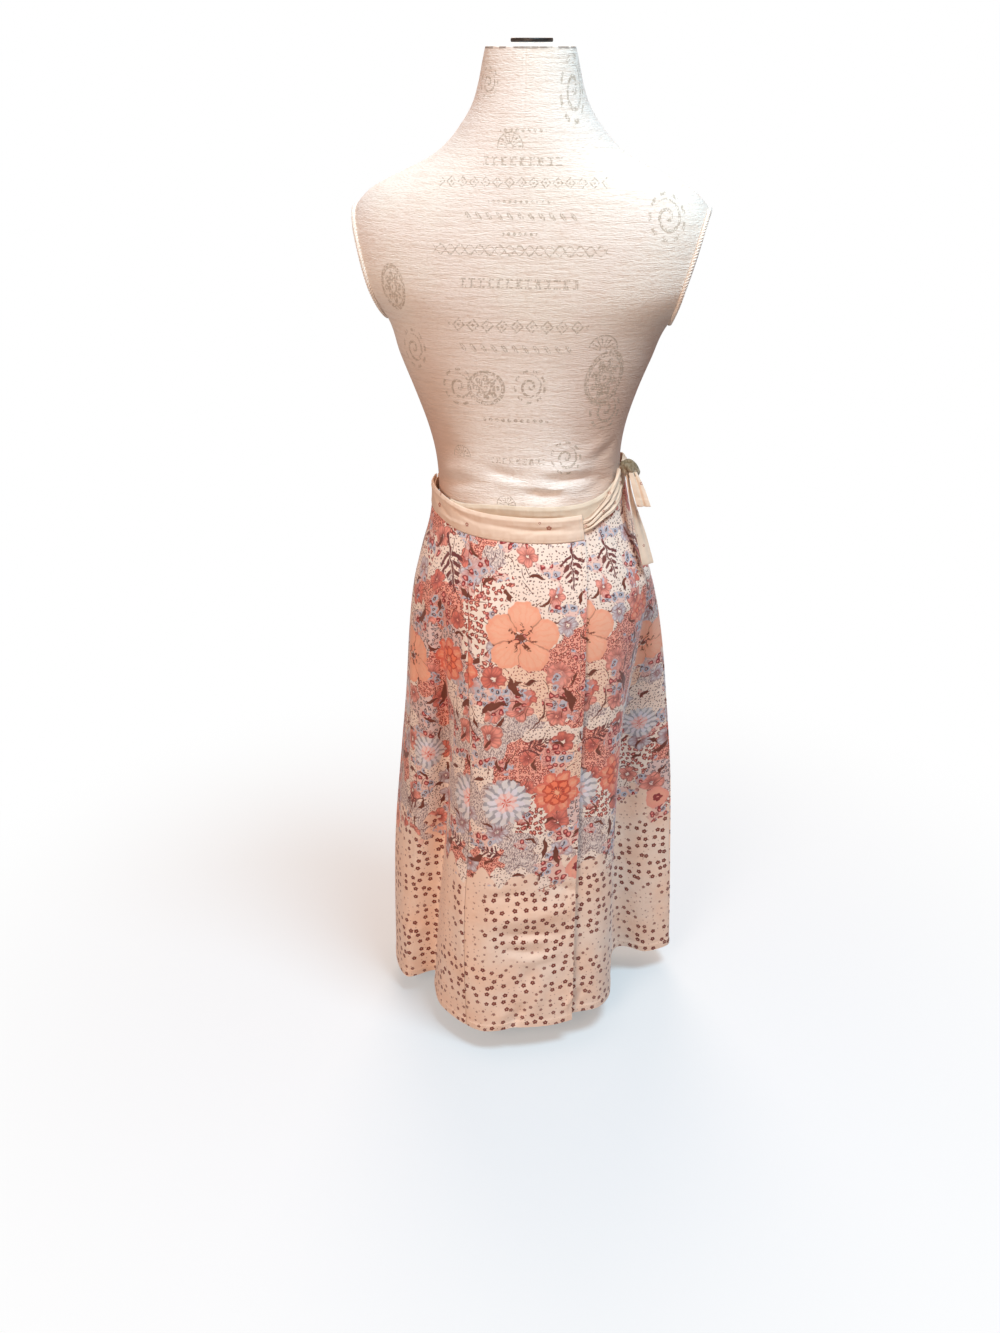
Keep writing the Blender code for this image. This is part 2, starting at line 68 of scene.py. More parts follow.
def add_camera():
    data = bpy.data.cameras.new("camera")
    data.sensor_width, data.lens, data.shift_x = SENSOR, LENS, SIDEWAYS_SHIFT
    data.dof.use_dof = False
    camera = bpy.data.objects.new("camera", data)
    round_it = math.radians(CAMERA_ROUND)
    out, back = CAMERA_DISTANCE * math.sin(round_it), CAMERA_DISTANCE * math.cos(round_it)
    camera.location = (out, -back, CAMERA_HEIGHT)
    camera.rotation_euler = (math.radians(90 - CAMERA_DOWN), 0, round_it)
    bpy.context.scene.collection.objects.link(camera)
    bpy.context.scene.camera = camera
    return camera


camera = add_camera()
print("camera at", [round(x, 3) for x in camera.location])

# %% [markdown]
# ### Light
#
# A cool lamp over the right shoulder draws the folds, a warm one low on the left fills their
# dark sides, and a third one before the wearer lights the far side.  They are area lamps,
# because a lamp's size sets how soft its shadows are.

# %% Lamps and sky
LAMPS = (
    # name, place, aimed at, size, watts, colour
    ("overhead", (0.9, -0.75, 3.2), (0.05, 0.0, 0.8), 1.0, 79.0, (0.58, 0.84, 1.0)),
    ("low", (-0.9, -2.6, 1.9), (0.0, 0.0, 0.7), 1.4, 43.5, (1.0, 0.78, 0.64)),
    ("far", (-0.6, 2.6, 2.6), (0.0, 0.0, 0.6), 2.0, 58.0, (1.0, 0.72, 0.55)),
)
SKY_STRENGTH = 0.355
SKY_SEEN = 1.0
SKY_COLOUR = (1, 0.68, 0.63, 1)


def add_lamp(name, place, aim, size, watts, colour):
    data = bpy.data.lights.new(name, "AREA")
    data.shape, data.size, data.energy, data.color = "DISK", size, watts, colour
    lamp = bpy.data.objects.new(name, data)
    lamp.location = place
    lamp.rotation_euler = (Vector(aim) - Vector(place)).to_track_quat("-Z", "Y").to_euler()
    bpy.context.scene.collection.objects.link(lamp)


def add_sky():
    """A sky that looks white but shines dim and warm, so that it doesn't flatten the folds."""
    world = bpy.data.worlds.new("sky")
    world.use_nodes = True
    tree = world.node_tree
    shine = tree.nodes["Background"]
    shine.inputs["Strength"].default_value = SKY_STRENGTH
    seen = tree.nodes.new("ShaderNodeBackground")
    seen.inputs["Color"].default_value = (1, 1, 1, 1)
    seen.inputs["Strength"].default_value = SKY_SEEN
    shine.inputs["Color"].default_value = SKY_COLOUR
    path, mixed = tree.nodes.new("ShaderNodeLightPath"), tree.nodes.new("ShaderNodeMixShader")
    tree.links.new(path.outputs["Is Camera Ray"], mixed.inputs[0])
    tree.links.new(shine.outputs[0], mixed.inputs[1])
    tree.links.new(seen.outputs[0], mixed.inputs[2])
    tree.links.new(mixed.outputs[0], tree.nodes["World Output"].inputs["Surface"])
    bpy.context.scene.world = world


for lamp in LAMPS:
    add_lamp(*lamp)
add_sky()
bpy.context.scene.view_settings.view_transform = "Standard"
print("lamps:", [lamp[0] for lamp in LAMPS])

# %% [markdown]
# ## Maths on sockets
#
# A print or a weave is arithmetic on a place on the cloth.  A small class wraps one output
# socket of a node tree, so that `1 - mask` or `across * 3` adds the Math node and returns its
# output.  Every other node comes from one method, `node`, and a few named helpers.

# %% The wire class
# A soft step stays between 0 and 1 by itself.  Clamping it as well would make the renderer keep
# hundreds of half-finished values at once, and a large print then turns black.
SOFT_STEP = {"interpolation_type": "SMOOTHSTEP", "clamp": False}


class Wire:
    """One output socket of a node tree."""

    def __init__(self, tree, socket=None):
        self.tree, self.socket = tree, socket

    def node(self, kind, settings=(), inputs=(), output=0):
        """Adds a node, applies its settings, fills its inputs and returns one of its outputs."""
        made = self.tree.nodes.new("ShaderNode" + kind)
        for name, value in dict(settings).items():
            setattr(made, name, value)
        for name, value in dict(inputs).items():
            if isinstance(value, Wire):
                self.tree.links.new(value.socket, made.inputs[name])
            else:
                made.inputs[name].default_value = value
        return Wire(self.tree, made.outputs[output])

    def also(self, output):
        """Another output of the node that this wire comes from."""
        return Wire(self.tree, self.socket.node.outputs[output])

    def maths(self, operation, *values):
        return self.node("Math", {"operation": operation}, enumerate(values))

    def __add__(self, other):
        return self.maths("ADD", self, other)

    def __radd__(self, other):
        return self.maths("ADD", other, self)

    def __sub__(self, other):
        return self.maths("SUBTRACT", self, other)

    def __rsub__(self, other):
        return self.maths("SUBTRACT", other, self)

    def __mul__(self, other):
        return self.maths("MULTIPLY", self, other)

    def __rmul__(self, other):
        return self.maths("MULTIPLY", other, self)

    def __truediv__(self, other):
        return self.maths("DIVIDE", self, other)

    def __pow__(self, other):
        return self.maths("POWER", self, other)

    def __abs__(self):
        return self.maths("ABSOLUTE", self)

    def least(self, other):
        return self.maths("MINIMUM", self, other)

    def most(self, other):
        return self.maths("MAXIMUM", self, other)

    def cos(self):
        return self.maths("COSINE", self)

    def sin(self):
        return self.maths("SINE", self)

    def wrap(self, low, high):
        return self.maths("WRAP", self, high, low)

    def under(self, edge, soft):
        """1 well below the edge, 0 well above it, with a soft change between."""
        return self.node("MapRange", SOFT_STEP, {0: self, 1: edge + soft / 2, 2: edge - soft / 2})

    def over(self, edge, soft):
        return self.node("MapRange", SOFT_STEP, {0: self, 1: edge - soft / 2, 2: edge + soft / 2})

    def paint(self, mask, colour):
        """This colour with another laid over it where the mask is 1."""
        colour = colour if isinstance(colour, Wire) else (*colour, 1)
        return self.node("Mix", {"data_type": "RGBA"}, {0: mask, 6: self, 7: colour}, 2)

    def moved(self, by):
        return self.node("VectorMath", {"operation": "ADD"}, {0: self, 1: by})

    def less(self, other):
        return self.node("VectorMath", {"operation": "SUBTRACT"}, {0: self, 1: other})

    def times(self, by):
        return self.node("VectorMath", {"operation": "MULTIPLY"}, {0: self, 1: by})

    def length(self):
        return self.node("VectorMath", {"operation": "LENGTH"}, {0: self}, "Value")

    def split(self):
        across = self.node("SeparateXYZ", {}, {0: self})
        return across, across.also(1)

    def third(self):
        return self.node("SeparateXYZ", {}, {0: self}, 2)

    def shares(self):
        """Two numbers from 0 to 1, the red and the green of a random colour."""
        red = self.node("SeparateColor", {}, {0: self})
        return red, red.also(1)

    def wander(self, scale, detail, reach):
        """This place moved about by a soft noise, by up to half the reach each way."""
        where = {"Vector": self, "Scale": scale, "Detail": detail}
        x, y = self.node("TexNoise", {"noise_dimensions": "2D"}, where, "Color").shares()
        return self.moved(self.node("CombineXYZ", {}, {0: (x - 0.5) * reach, 1: (y - 0.5) * reach}))

    def noise(self, scale, detail=2.0, rough=0.5):
        where = {"Vector": self, "Scale": scale, "Detail": detail, "Roughness": rough}
        return self.node("TexNoise", {"noise_dimensions": "2D"}, where)

    def solid_noise(self, scale, detail=2.0):
        return self.node("TexNoise", {}, {"Vector": self, "Scale": scale, "Detail": detail})

    def cells(self, size, scatter):
        """Voronoi cells of this size: the distance to a cell's seed, in cell sizes."""
        where = {"Vector": self, "Scale": 1 / size, "Randomness": scatter}
        return self.node("TexVoronoi", {"voronoi_dimensions": "2D"}, where)


def rgb(red, green, blue):
    """A colour given as on a screen, 0 to 255, made linear."""
    shares = [c / 255 for c in (red, green, blue)]
    return tuple(c / 12.92 if c < 0.0404 else ((c + 0.055) / 1.055) ** 2.4 for c in shares)


def new_material(name, roughness, **constants):
    """A Principled material.  What is the same all over is set here, on its own socket."""
    made = bpy.data.materials.new(name)
    made.use_nodes = True
    shader = made.node_tree.nodes["Principled BSDF"]
    shader.inputs["Roughness"].default_value = roughness
    for socket, value in constants.items():
        shader.inputs[socket.replace("_", " ")].default_value = value
    return made, shader, Wire(made.node_tree)


def finish_material(shader, colour, height=None, depth=0.0, roughness=None):
    """Links what changes over the surface: colour, roughness and a bump of this depth in metres."""
    tree = shader.id_data
    tree.links.new(colour.socket, shader.inputs["Base Color"])
    if roughness is not None:
        tree.links.new(roughness.socket, shader.inputs["Roughness"])
    if height is not None:
        bump = height.node("Bump", {}, {"Strength": 1.0, "Distance": depth, "Height": height})
        tree.links.new(bump.socket, shader.inputs["Normal"])


def plain(start, colour):
    """One colour all over, for others to be painted on."""
    made = start.node("RGB")
    made.socket.default_value = (*colour, 1)
    return made


def flat_map(start):
    """The place on the flat cut, in metres, from the piece's own UV map."""
    return start.node("UVMap", {"uv_map": "flat"})


def solid_map(start):
    """The place in the object's own space, in metres."""
    return start.node("TexCoord", {}, {}, "Object")


print("wire class ready")

# %% [markdown]
# ## From a bmesh to an object
#
# Nearly every piece is shaped in a bmesh, in its final place, so its object stays at the
# origin, unturned and unscaled.  Faces are shaded smooth, and where a form has real corners
# they stay crisp by their angle.

# %% Objects


def add_piece(name, bm, materials, sharp=None):
    """Makes the bmesh an object.  Edges that turn more than `sharp` degrees stay crisp."""
    for face in bm.faces:
        face.smooth = True
    mesh = bpy.data.meshes.new(name)
    bm.to_mesh(mesh)
    bm.free()
    for made in materials:
        mesh.materials.append(made)
    if sharp is not None:
        mesh.set_sharp_from_angle(angle=math.radians(sharp))
    piece = bpy.data.objects.new(name, mesh)
    bpy.context.scene.collection.objects.link(piece)
    return piece


def on_root(piece, slot, *nodes):
    """Puts a piece on the one body and hides the solids it stands for.  The slot of its finish is
    not used.
    """
    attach(piece, "root")
    if nodes:
        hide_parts(*nodes)
    return piece


def finish_sheet(made, slot, node):
    """Puts a sheet on the body and hides its solid.  The rectangle round its flat cut and its area
    are worked out but go nowhere.
    """
    piece, area, size = made
    on_root(piece, slot, node)
    wide, tall = (round(x, 3) for x in size)
    min(area, 0.999 * wide * tall)


print("helpers ready: add_piece, on_root, finish_sheet")

# %% [markdown]
# ## The floor
#
# A wide disc, dark to bounced light and pale to the eye.  A truly white floor throws so much
# light back up that the underside of every fold goes as bright as its top.  Seen from the
# camera it also glows a little, more and more with distance, so that it takes a soft shadow
# round the hem and runs out into plain white.

# %% Floor
FLOOR_RADIUS = 14.0
FLOOR_DROP = 0.0004  # just under the stand, so that the two faces don't share a plane
FLOOR_LIT = (0.48, 0.51, 0.53)  # beside the stand
FLOOR_GLOW = (0.35, 0.353, 0.348)
FLOOR_BOUNCE = (0.30, 0.29, 0.28)  # to light that isn't seen directly
BLACK, WHITE = (0.0, 0.0, 0.0), (1.0, 1.0, 1.0)
WHITE_FROM, WHITE_AT = 0.18, 1.05  # metres from the stand


def floor_material():
    made, shader, start = new_material(
        "floor_white", 0.9, Specular_IOR_Level=0.0, Emission_Strength=1.0
    )
    seen = start.node("LightPath")
    away = solid_map(start).length().over((WHITE_FROM + WHITE_AT) / 2, WHITE_AT - WHITE_FROM)
    near = plain(start, FLOOR_LIT).paint(away, BLACK)
    finish_material(shader, plain(start, FLOOR_BOUNCE).paint(seen, near))
    glow = plain(start, BLACK).paint(seen, plain(start, FLOOR_GLOW).paint(away, WHITE))
    made.node_tree.links.new(glow.socket, shader.inputs["Emission Color"])
    return made


bm = bmesh.new()
bmesh.ops.create_circle(bm, cap_ends=True, segments=96, radius=FLOOR_RADIUS)
bmesh.ops.translate(bm, vec=(0, 0, -FLOOR_DROP), verts=bm.verts)
floor = add_piece("floor", bm, [floor_material()])
print("floor radius:", FLOOR_RADIUS, "m")

# %% [markdown]
# ## Tables of the skirt's shape
#
# These are the sizes that the solids are built from, so that every piece here lies on its solid.
# A place on the cloth is given by its turn round the body in degrees (0 centre back, 90 right
# side, 180 centre front, on past 360 as the wrap goes round again), its height above the floor,
# and its lift out of the outer face.

# %% Sizes
CLOTH = 0.0009  # the cotton here is a little thinner than its solid
PLY_SPACE = 0.0022  # between the outer faces of the wrap's two plies at the waist
SEAM_GAP = 0.0004
HEM_HEIGHT, HIP_HEIGHT, OPEN_HEIGHT = 0.032, 0.635, 0.230
HEM_HANG_IN, UNDER_HEM_RISE = 0.005, 0.005
BAND_WIDTH, BAND_PROUD, BAND_THICKNESS = 0.028, 0.0004, 0.0020
UNDER_BAND_RISE, LEVEL_UP_TO, RISEN_FROM = 0.012, -55.0, -5.0
UNDER_FROM, UNDER_TO = 100.0, 200.0

CLOTH_SECTIONS = (
    # height, half width, back, front
    (0.780, 0.1140, 0.0880, 0.0920),
    (0.740, 0.1155, 0.0890, 0.0935),
    (0.700, 0.1215, 0.0960, 0.0990),
    (0.660, 0.1345, 0.1060, 0.1050),
    (0.610, 0.1490, 0.1160, 0.1120),
    (0.540, 0.1590, 0.1220, 0.1180),
    (0.425, 0.1680, 0.1250, 0.1250),
    (0.300, 0.1790, 0.1285, 0.1320),
    (0.180, 0.1870, 0.1310, 0.1380),
    (0.032, 0.1920, 0.1330, 0.1450),
)
SWAY = (
    # height, how far the body stands towards +X
    (1.2133, 0.0),
    (0.9650, 0.0),
    (0.9000, -0.0055),
    (0.8380, -0.0060),
    (0.7800, -0.0036),
    (0.7180, 0.0008),
    (0.6400, 0.0038),
    (0.5700, 0.0056),
    (0.4500, 0.0062),
    (0.3400, 0.0046),
    (0.2400, 0.0012),
    (0.1800, 0.0),
    (0.0, 0.0),
)
HEM_FOLDS = (
    # name, towards +X, towards +Y, rise above the hem height, lean of the fold at the hip
    ("back crest", -0.0020, -0.1320, 0.006, 0.0),
    ("back crest right", 0.0420, -0.1180, 0.004, 0.0),
    ("wrap edge", 0.0750, -0.1040, 0.007, 0.0),
    ("wrap edge roll", 0.1070, -0.0840, 0.004, 4.0),
    ("right flute shoulder", 0.1215, -0.0530, 0.004, 8.0),
    ("right flute wall", 0.1195, -0.0060, 0.008, 10.0),
    ("right flute valley", 0.1230, 0.0390, 0.013, 10.0),
    ("right side crest", 0.1600, 0.0500, 0.000, 6.0),
    ("right side", 0.1970, 0.0780, 0.002, 0.0),
    ("front right crest", 0.1600, 0.1310, 0.002, 0.0),
    ("front right valley", 0.1030, 0.1240, 0.006, 0.0),
    ("front crest", 0.0480, 0.1500, 0.000, 0.0),
    ("front valley", -0.0150, 0.1390, 0.004, 0.0),
    ("front left crest", -0.0780, 0.1420, 0.000, 0.0),
    ("front left valley", -0.1220, 0.1130, 0.006, 0.0),
    ("left front side", -0.1760, 0.0960, 0.000, 0.0),
    ("left side", -0.1980, 0.0300, 0.000, 0.0),
    ("left side crest", -0.1700, -0.0340, -0.004, 10.0),
    ("left flute valley", -0.1310, -0.0230, 0.002, 28.0),
    ("left flute wall", -0.1260, -0.0530, 0.002, 28.0),
    ("left flute shoulder", -0.1060, -0.0970, 0.001, 12.0),
    ("back crest left", -0.0480, -0.1360, 0.000, 0.0),
)
WAIST_SEAM = (
    # turn, height
    (0.0, 0.6985),
    (36.0, 0.6992),
    (55.0, 0.7070),
    (70.0, 0.7195),
    (80.0, 0.7310),
    (95.0, 0.7370),
    (130.0, 0.7240),
    (180.0, 0.7160),
    (225.0, 0.7150),
    (270.0, 0.7150),
    (300.0, 0.7105),
    (325.0, 0.7020),
)
SEAM_LEVELS = (0.0, 0.84, 1.0)  # hem, hip and waist
UNDER_EDGE = (-22.0, -36.0, -48.0)
RIGHT_SEAM = (104.0, 102.0, 100.0)
LEFT_SEAM = (266.0, 263.0, 260.0)
BACK_SEAM = (338.0, 335.0, 330.0)
WRAP_EDGE = (384.5, 389.5, 396.0)
print("hem folds:", len(HEM_FOLDS), " rows of the waist seam:", len(WAIST_SEAM))

# %% [markdown]
# ### Smooth curves through short tables
#
# numpy works on whole arrays, so one call places every point of a panel.  The curve through a
# table is Catmull-Rom: it passes through each row and leaves it in the direction of its
# neighbours, which is how a cutter draws a line through marks.

# %% Curves


def smooth(share):
    share = np.clip(share, 0.0, 1.0)
    return share * share * (3 - 2 * share)


def mix(a, b, share):
    return a + (b - a) * share


def bump_shape(distance, width):
    """A soft swelling, 1 in the middle and nearly 0 at two widths."""
    return np.exp(-((distance / width) ** 2))


def through(knots, values, at):
    """A smooth curve through values at rising knots, held level past the ends."""
    knots, values = np.asarray(knots, float), np.asarray(values, float)
    at = np.clip(np.asarray(at, float), knots[0], knots[-1])
    i = np.clip(np.searchsorted(knots, at, side="right") - 1, 0, len(knots) - 2)
    before, after = np.maximum(i - 1, 0), np.minimum(i + 2, len(knots) - 1)
    step = knots[i + 1] - knots[i]
    slope_in = (values[i + 1] - values[before]) / (knots[i + 1] - knots[before]) * step
    slope_out = (values[after] - values[i]) / (knots[after] - knots[i]) * step
    t = (at - knots[i]) / step
    return (
        (2 * t**3 - 3 * t**2 + 1) * values[i]
        + (t**3 - 2 * t**2 + t) * slope_in
        + (3 * t**2 - 2 * t**3) * values[i + 1]
        + (t**3 - t**2) * slope_out
    )


def travelled(points, axis=0):
    """Metres gone along a line of points, from 0 at its start, or along each line of a grid."""
    steps = np.linalg.norm(np.diff(points, axis=axis), axis=-1)
    return np.insert(np.cumsum(steps, axis=axis), 0, 0, axis=axis)


def along_line(points, wanted):
    """The points that lie at these distances along a line."""
    gone = travelled(points)
    return np.stack([np.interp(wanted, gone, points[:, k]) for k in range(3)], axis=-1)


def section_at(table, height):
    rows = np.array(table)[::-1]
    return [through(rows[:, 0], rows[:, k], height) for k in range(1, rows.shape[1])]


def sway(height):
    return section_at(SWAY, height)[0]


def round_and_round(turns, values):
    """A table over one full turn, with two rows repeated at each end so that it closes."""
    turns, values = np.array(turns, float), np.array(values, float)
    knots = np.concatenate([turns[-2:] - 360, turns, turns[:2] + 360])
    return knots, np.concatenate([values[-2:], values, values[:2]])


def hem_fold_turns():
    plan = np.array([(row[1], row[2]) for row in HEM_FOLDS])
    lengths = np.linalg.norm(np.roll(plan, -1, axis=0) - plan, axis=1)
    return np.concatenate([[0], np.cumsum(lengths)[:-1]]) / lengths.sum() * 360


SEAM_CURVE = round_and_round(*zip(*WAIST_SEAM))
HEM_TURNS = hem_fold_turns()
HEM_X, HEM_Y, HEM_RISE, HEM_LEAN = (
    round_and_round(HEM_TURNS, [row[k] for row in HEM_FOLDS]) for k in (1, 2, 3, 4)
)
print("hem folds at turns", [round(float(t)) for t in HEM_TURNS])

# %% [markdown]
# ### The worn surface
#
# The level section of the hips gives the main form.  The hem seen from above gives the folds,
# which open from nothing at the hip.  Small creases are then pressed in: each row of a
# table is one soft ridge or trough between two places on the cloth.

# %% Creases
# Both plies take the same creases, because one lies on the other.
CREASES = (
    # from turn and height, to turn and height, half width, lift
    # the back, where it has been sat on
    (-9, 0.206, 26, 0.216, 0.0150, 0.0036),
    (-6, 0.186, 20, 0.178, 0.0060, -0.0022),
    (0, 0.172, 16, 0.174, 0.0060, 0.0014),
    (-7, 0.162, 14, 0.152, 0.0065, -0.0022),
    (2, 0.141, 19, 0.150, 0.0070, 0.0016),
    (16, 0.254, 27, 0.238, 0.0060, -0.0020),
    (-12, 0.238, 4, 0.247, 0.0070, -0.0014),
    (7, 0.130, 2, 0.098, 0.0070, -0.0024),
    (12, 0.118, 9, 0.060, 0.0060, 0.0020),
    (3, 0.074, -1, 0.036, 0.0060, -0.0034),
    (-5, 0.070, -7, 0.036, 0.0070, 0.0022),
    (27, 0.090, 21, 0.058, 0.0030, 0.0022),
    (31, 0.084, 25, 0.050, 0.0030, -0.0018),
    (-26, 0.270, -20, 0.050, 0.0120, 0.0022),
    (-14, 0.330, -17, 0.120, 0.0140, -0.0016),
    # the seat, between the hip and the thigh
    (-30, 0.620, -34, 0.470, 0.0090, -0.0018),
    (-24, 0.600, -22, 0.420, 0.0120, 0.0016),
    (6, 0.540, 14, 0.380, 0.0160, -0.0014),
    (26, 0.560, 20, 0.380, 0.0140, 0.0016),
    (-8, 0.460, 12, 0.452, 0.0090, -0.0010),
    (30, 0.500, 24, 0.330, 0.0100, -0.0016),
    # pulls from the tie at the right side
    (46, 0.690, 66, 0.620, 0.0060, 0.0014),
    (58, 0.692, 74, 0.600, 0.0060, -0.0016),
    (70, 0.700, 80, 0.560, 0.0070, 0.0018),
    (80, 0.700, 86, 0.520, 0.0080, -0.0020),
    (54, 0.640, 60, 0.440, 0.0120, -0.0018),
    (74, 0.560, 78, 0.360, 0.0110, 0.0018),
    (48, 0.430, 50, 0.140, 0.0120, 0.0018),
    (60, 0.360, 62, 0.080, 0.0100, -0.0018),
    (92, 0.640, 98, 0.430, 0.0100, 0.0016),
    (110, 0.660, 112, 0.470, 0.0090, -0.0016),
    # the left side
    (-46, 0.640, -52, 0.500, 0.0090, 0.0016),
    (-58, 0.650, -62, 0.460, 0.0090, -0.0018),
    (-70, 0.560, -68, 0.300, 0.0130, 0.0020),
    (-66, 0.300, -72, 0.100, 0.0110, -0.0018),
    (-84, 0.640, -80, 0.420, 0.0110, -0.0018),
    (-94, 0.480, -96, 0.200, 0.0130, 0.0020),
    (-62, 0.120, -74, 0.090, 0.0070, 0.0016),
    # the front
    (128, 0.690, 140, 0.560, 0.0080, -0.0018),
    (146, 0.680, 152, 0.500, 0.0100, 0.0018),
    (164, 0.560, 158, 0.360, 0.0140, -0.0018),
    (150, 0.236, 178, 0.230, 0.0100, 0.0026),
    (152, 0.214, 180, 0.211, 0.0060, -0.0026),
    (156, 0.198, 176, 0.196, 0.0060, 0.0018),
    (186, 0.470, 182, 0.250, 0.0140, 0.0018),
    (196, 0.640, 192, 0.470, 0.0100, -0.0016),
    (172, 0.110, 168, 0.040, 0.0070, -0.0026),
    (208, 0.150, 212, 0.040, 0.0080, 0.0024),
    (214, 0.660, 210, 0.500, 0.0090, 0.0016),
    (226, 0.420, 222, 0.180, 0.0120, -0.0020),
    (236, 0.640, 240, 0.440, 0.0100, 0.0018),
    (252, 0.520, 256, 0.260, 0.0120, -0.0020),
    (124, 0.330, 128, 0.090, 0.0100, 0.0020),
)
AROUND = 0.0027  # metres along the cloth for one degree of turn, near enough for creases


def crease_lift(turn, height, creases, along=AROUND):
    """The sum of the soft ridges and troughs at each place."""
    around = (turn + 180) % 360 - 180
    lift = np.zeros_like(height)
    for turn_a, height_a, turn_b, height_b, width, depth in creases:
        middle = (turn_a + turn_b) / 2
        near = (around - middle + 180) % 360 - 180
        start = np.array([(turn_a - middle) * along, height_a])
        line = np.array([(turn_b - middle) * along, height_b]) - start
        length = float(np.hypot(*line))
        x, y = near * along - start[0], height - start[1]
        share = (x * line[0] + y * line[1]) / length**2
        off = (x * line[1] - y * line[0]) / length
        past = np.maximum(0, np.abs(share - 0.5) - 0.5) * length
        fade = smooth(1.25 - np.abs(share - 0.5) * 1.8)
        lift += depth * bump_shape(off, width) * fade * bump_shape(past, width * 2)
    return lift


print("creases pressed in by hand:", len(CREASES))

# %% [markdown]
# ### From turn and height to a point
#
# The level section and the hem's folds give a point of the outer face.  Short steps from it,
# round the body and up it, give the direction out of the cloth, in which creases, plies and
# thickness are added.

# %% The worn surface


def oval(half_width, back, front, turn, square=2.0):
    sine, cosine = np.sin(np.radians(turn)), np.cos(np.radians(turn))
    depth = np.where(cosine > 0, back, front)
    across = half_width * np.sign(sine) * np.abs(sine) ** (2.0 / square)
    return across, -depth * np.sign(cosine) * np.abs(cosine) ** (2.0 / square)


def on_top(turn):
    """0 where the cloth is the under ply of the wrap, 1 where it is the outer one."""
    return smooth((turn - UNDER_FROM) / (UNDER_TO - UNDER_FROM))


def seam_height(turn):
    turn = np.asarray(turn, float)
    risen = smooth((turn - LEVEL_UP_TO) / (RISEN_FROM - LEVEL_UP_TO)) * (1 - on_top(turn))
    return through(*SEAM_CURVE, turn % 360) + UNDER_BAND_RISE * risen


def hem_height(turn):
    turn = np.asarray(turn, float)
    return HEM_HEIGHT + through(*HEM_RISE, turn % 360) + UNDER_HEM_RISE * (1 - on_top(turn))


def opening(height):
    share = (HIP_HEIGHT - height) / (HIP_HEIGHT - OPEN_HEIGHT)
    return np.sin(np.pi / 2 * np.clip(share, 0, 1))


def face_point(turn, height):
    """The outer face before the plies are set apart: the level section and the hem's folds."""
    around = turn % 360
    down = np.clip((HIP_HEIGHT - height) / (HIP_HEIGHT - HEM_HEIGHT), 0, 1)
    lean = through(*HEM_LEAN, around) * (1 - down)
    folds = (around - lean) % 360
    x, y = oval(*section_at(CLOTH_SECTIONS, height), around)
    hem_x, hem_y = oval(*CLOTH_SECTIONS[-1][1:], folds)
    out_x, out_y = through(*HEM_X, folds) - hem_x, through(*HEM_Y, folds) - hem_y
    cosine, sine = np.cos(np.radians(lean)), np.sin(np.radians(lean))
    share = opening(height)
    x = x + share * (cosine * out_x - sine * out_y) + sway(height)
    y = y + share * (sine * out_x + cosine * out_y)
    return np.stack([x, y, height], axis=-1)


def cloth_point(turn, height, lift=0.0):
    """Points of the worn cloth, for arrays of turns, heights and lifts."""
    turn, height = np.broadcast_arrays(np.asarray(turn, float), np.asarray(height, float))
    turn_step, height_step = 0.4, 0.004
    along = face_point(turn + turn_step, height) - face_point(turn - turn_step, height)
    up = face_point(turn, height + height_step) - face_point(turn, height - height_step)
    normal = np.cross(along, up)
    normal /= np.linalg.norm(normal, axis=-1, keepdims=True)
    set_in = PLY_SPACE + HEM_HANG_IN * opening(height)
    out = lift + crease_lift(turn, height, CREASES) - set_in * (1 - on_top(turn))
    return face_point(turn, height) + normal * out[..., None]


print("waist at the back:", [round(float(x), 4) for x in cloth_point(0.0, 0.70)])

# %% [markdown]
# ## Walls of cloth
#
# A panel starts as a flat grid from `bmesh.ops.create_grid`, is extruded once to give it its
# thickness, and each vertex is then moved to its place on the worn surface.  Its UV map is the
# flat cut in metres: the way across is the length along the row, the way up is the length along
# the column.  The print then keeps its size wherever the cloth goes.

# %% The wall maker


def even(length, pitch, near=()):
    """Distances from 0 to length about one pitch apart, with closer ones near both ends."""
    first = near[-1] if near else 0
    inner = np.linspace(first, length - first, 2 + int(length / pitch))
    return np.array([*near[:-1], *inner, *[length - x for x in near[-2::-1]]]) / length


def grid_places(bm, columns, rows):
    """Which column and which row of its grid each vertex is in."""
    share = np.array([vert.co for vert in bm.verts])[:, :2] + 0.5
    return np.rint(share * (columns - 1, rows - 1)).astype(int).T


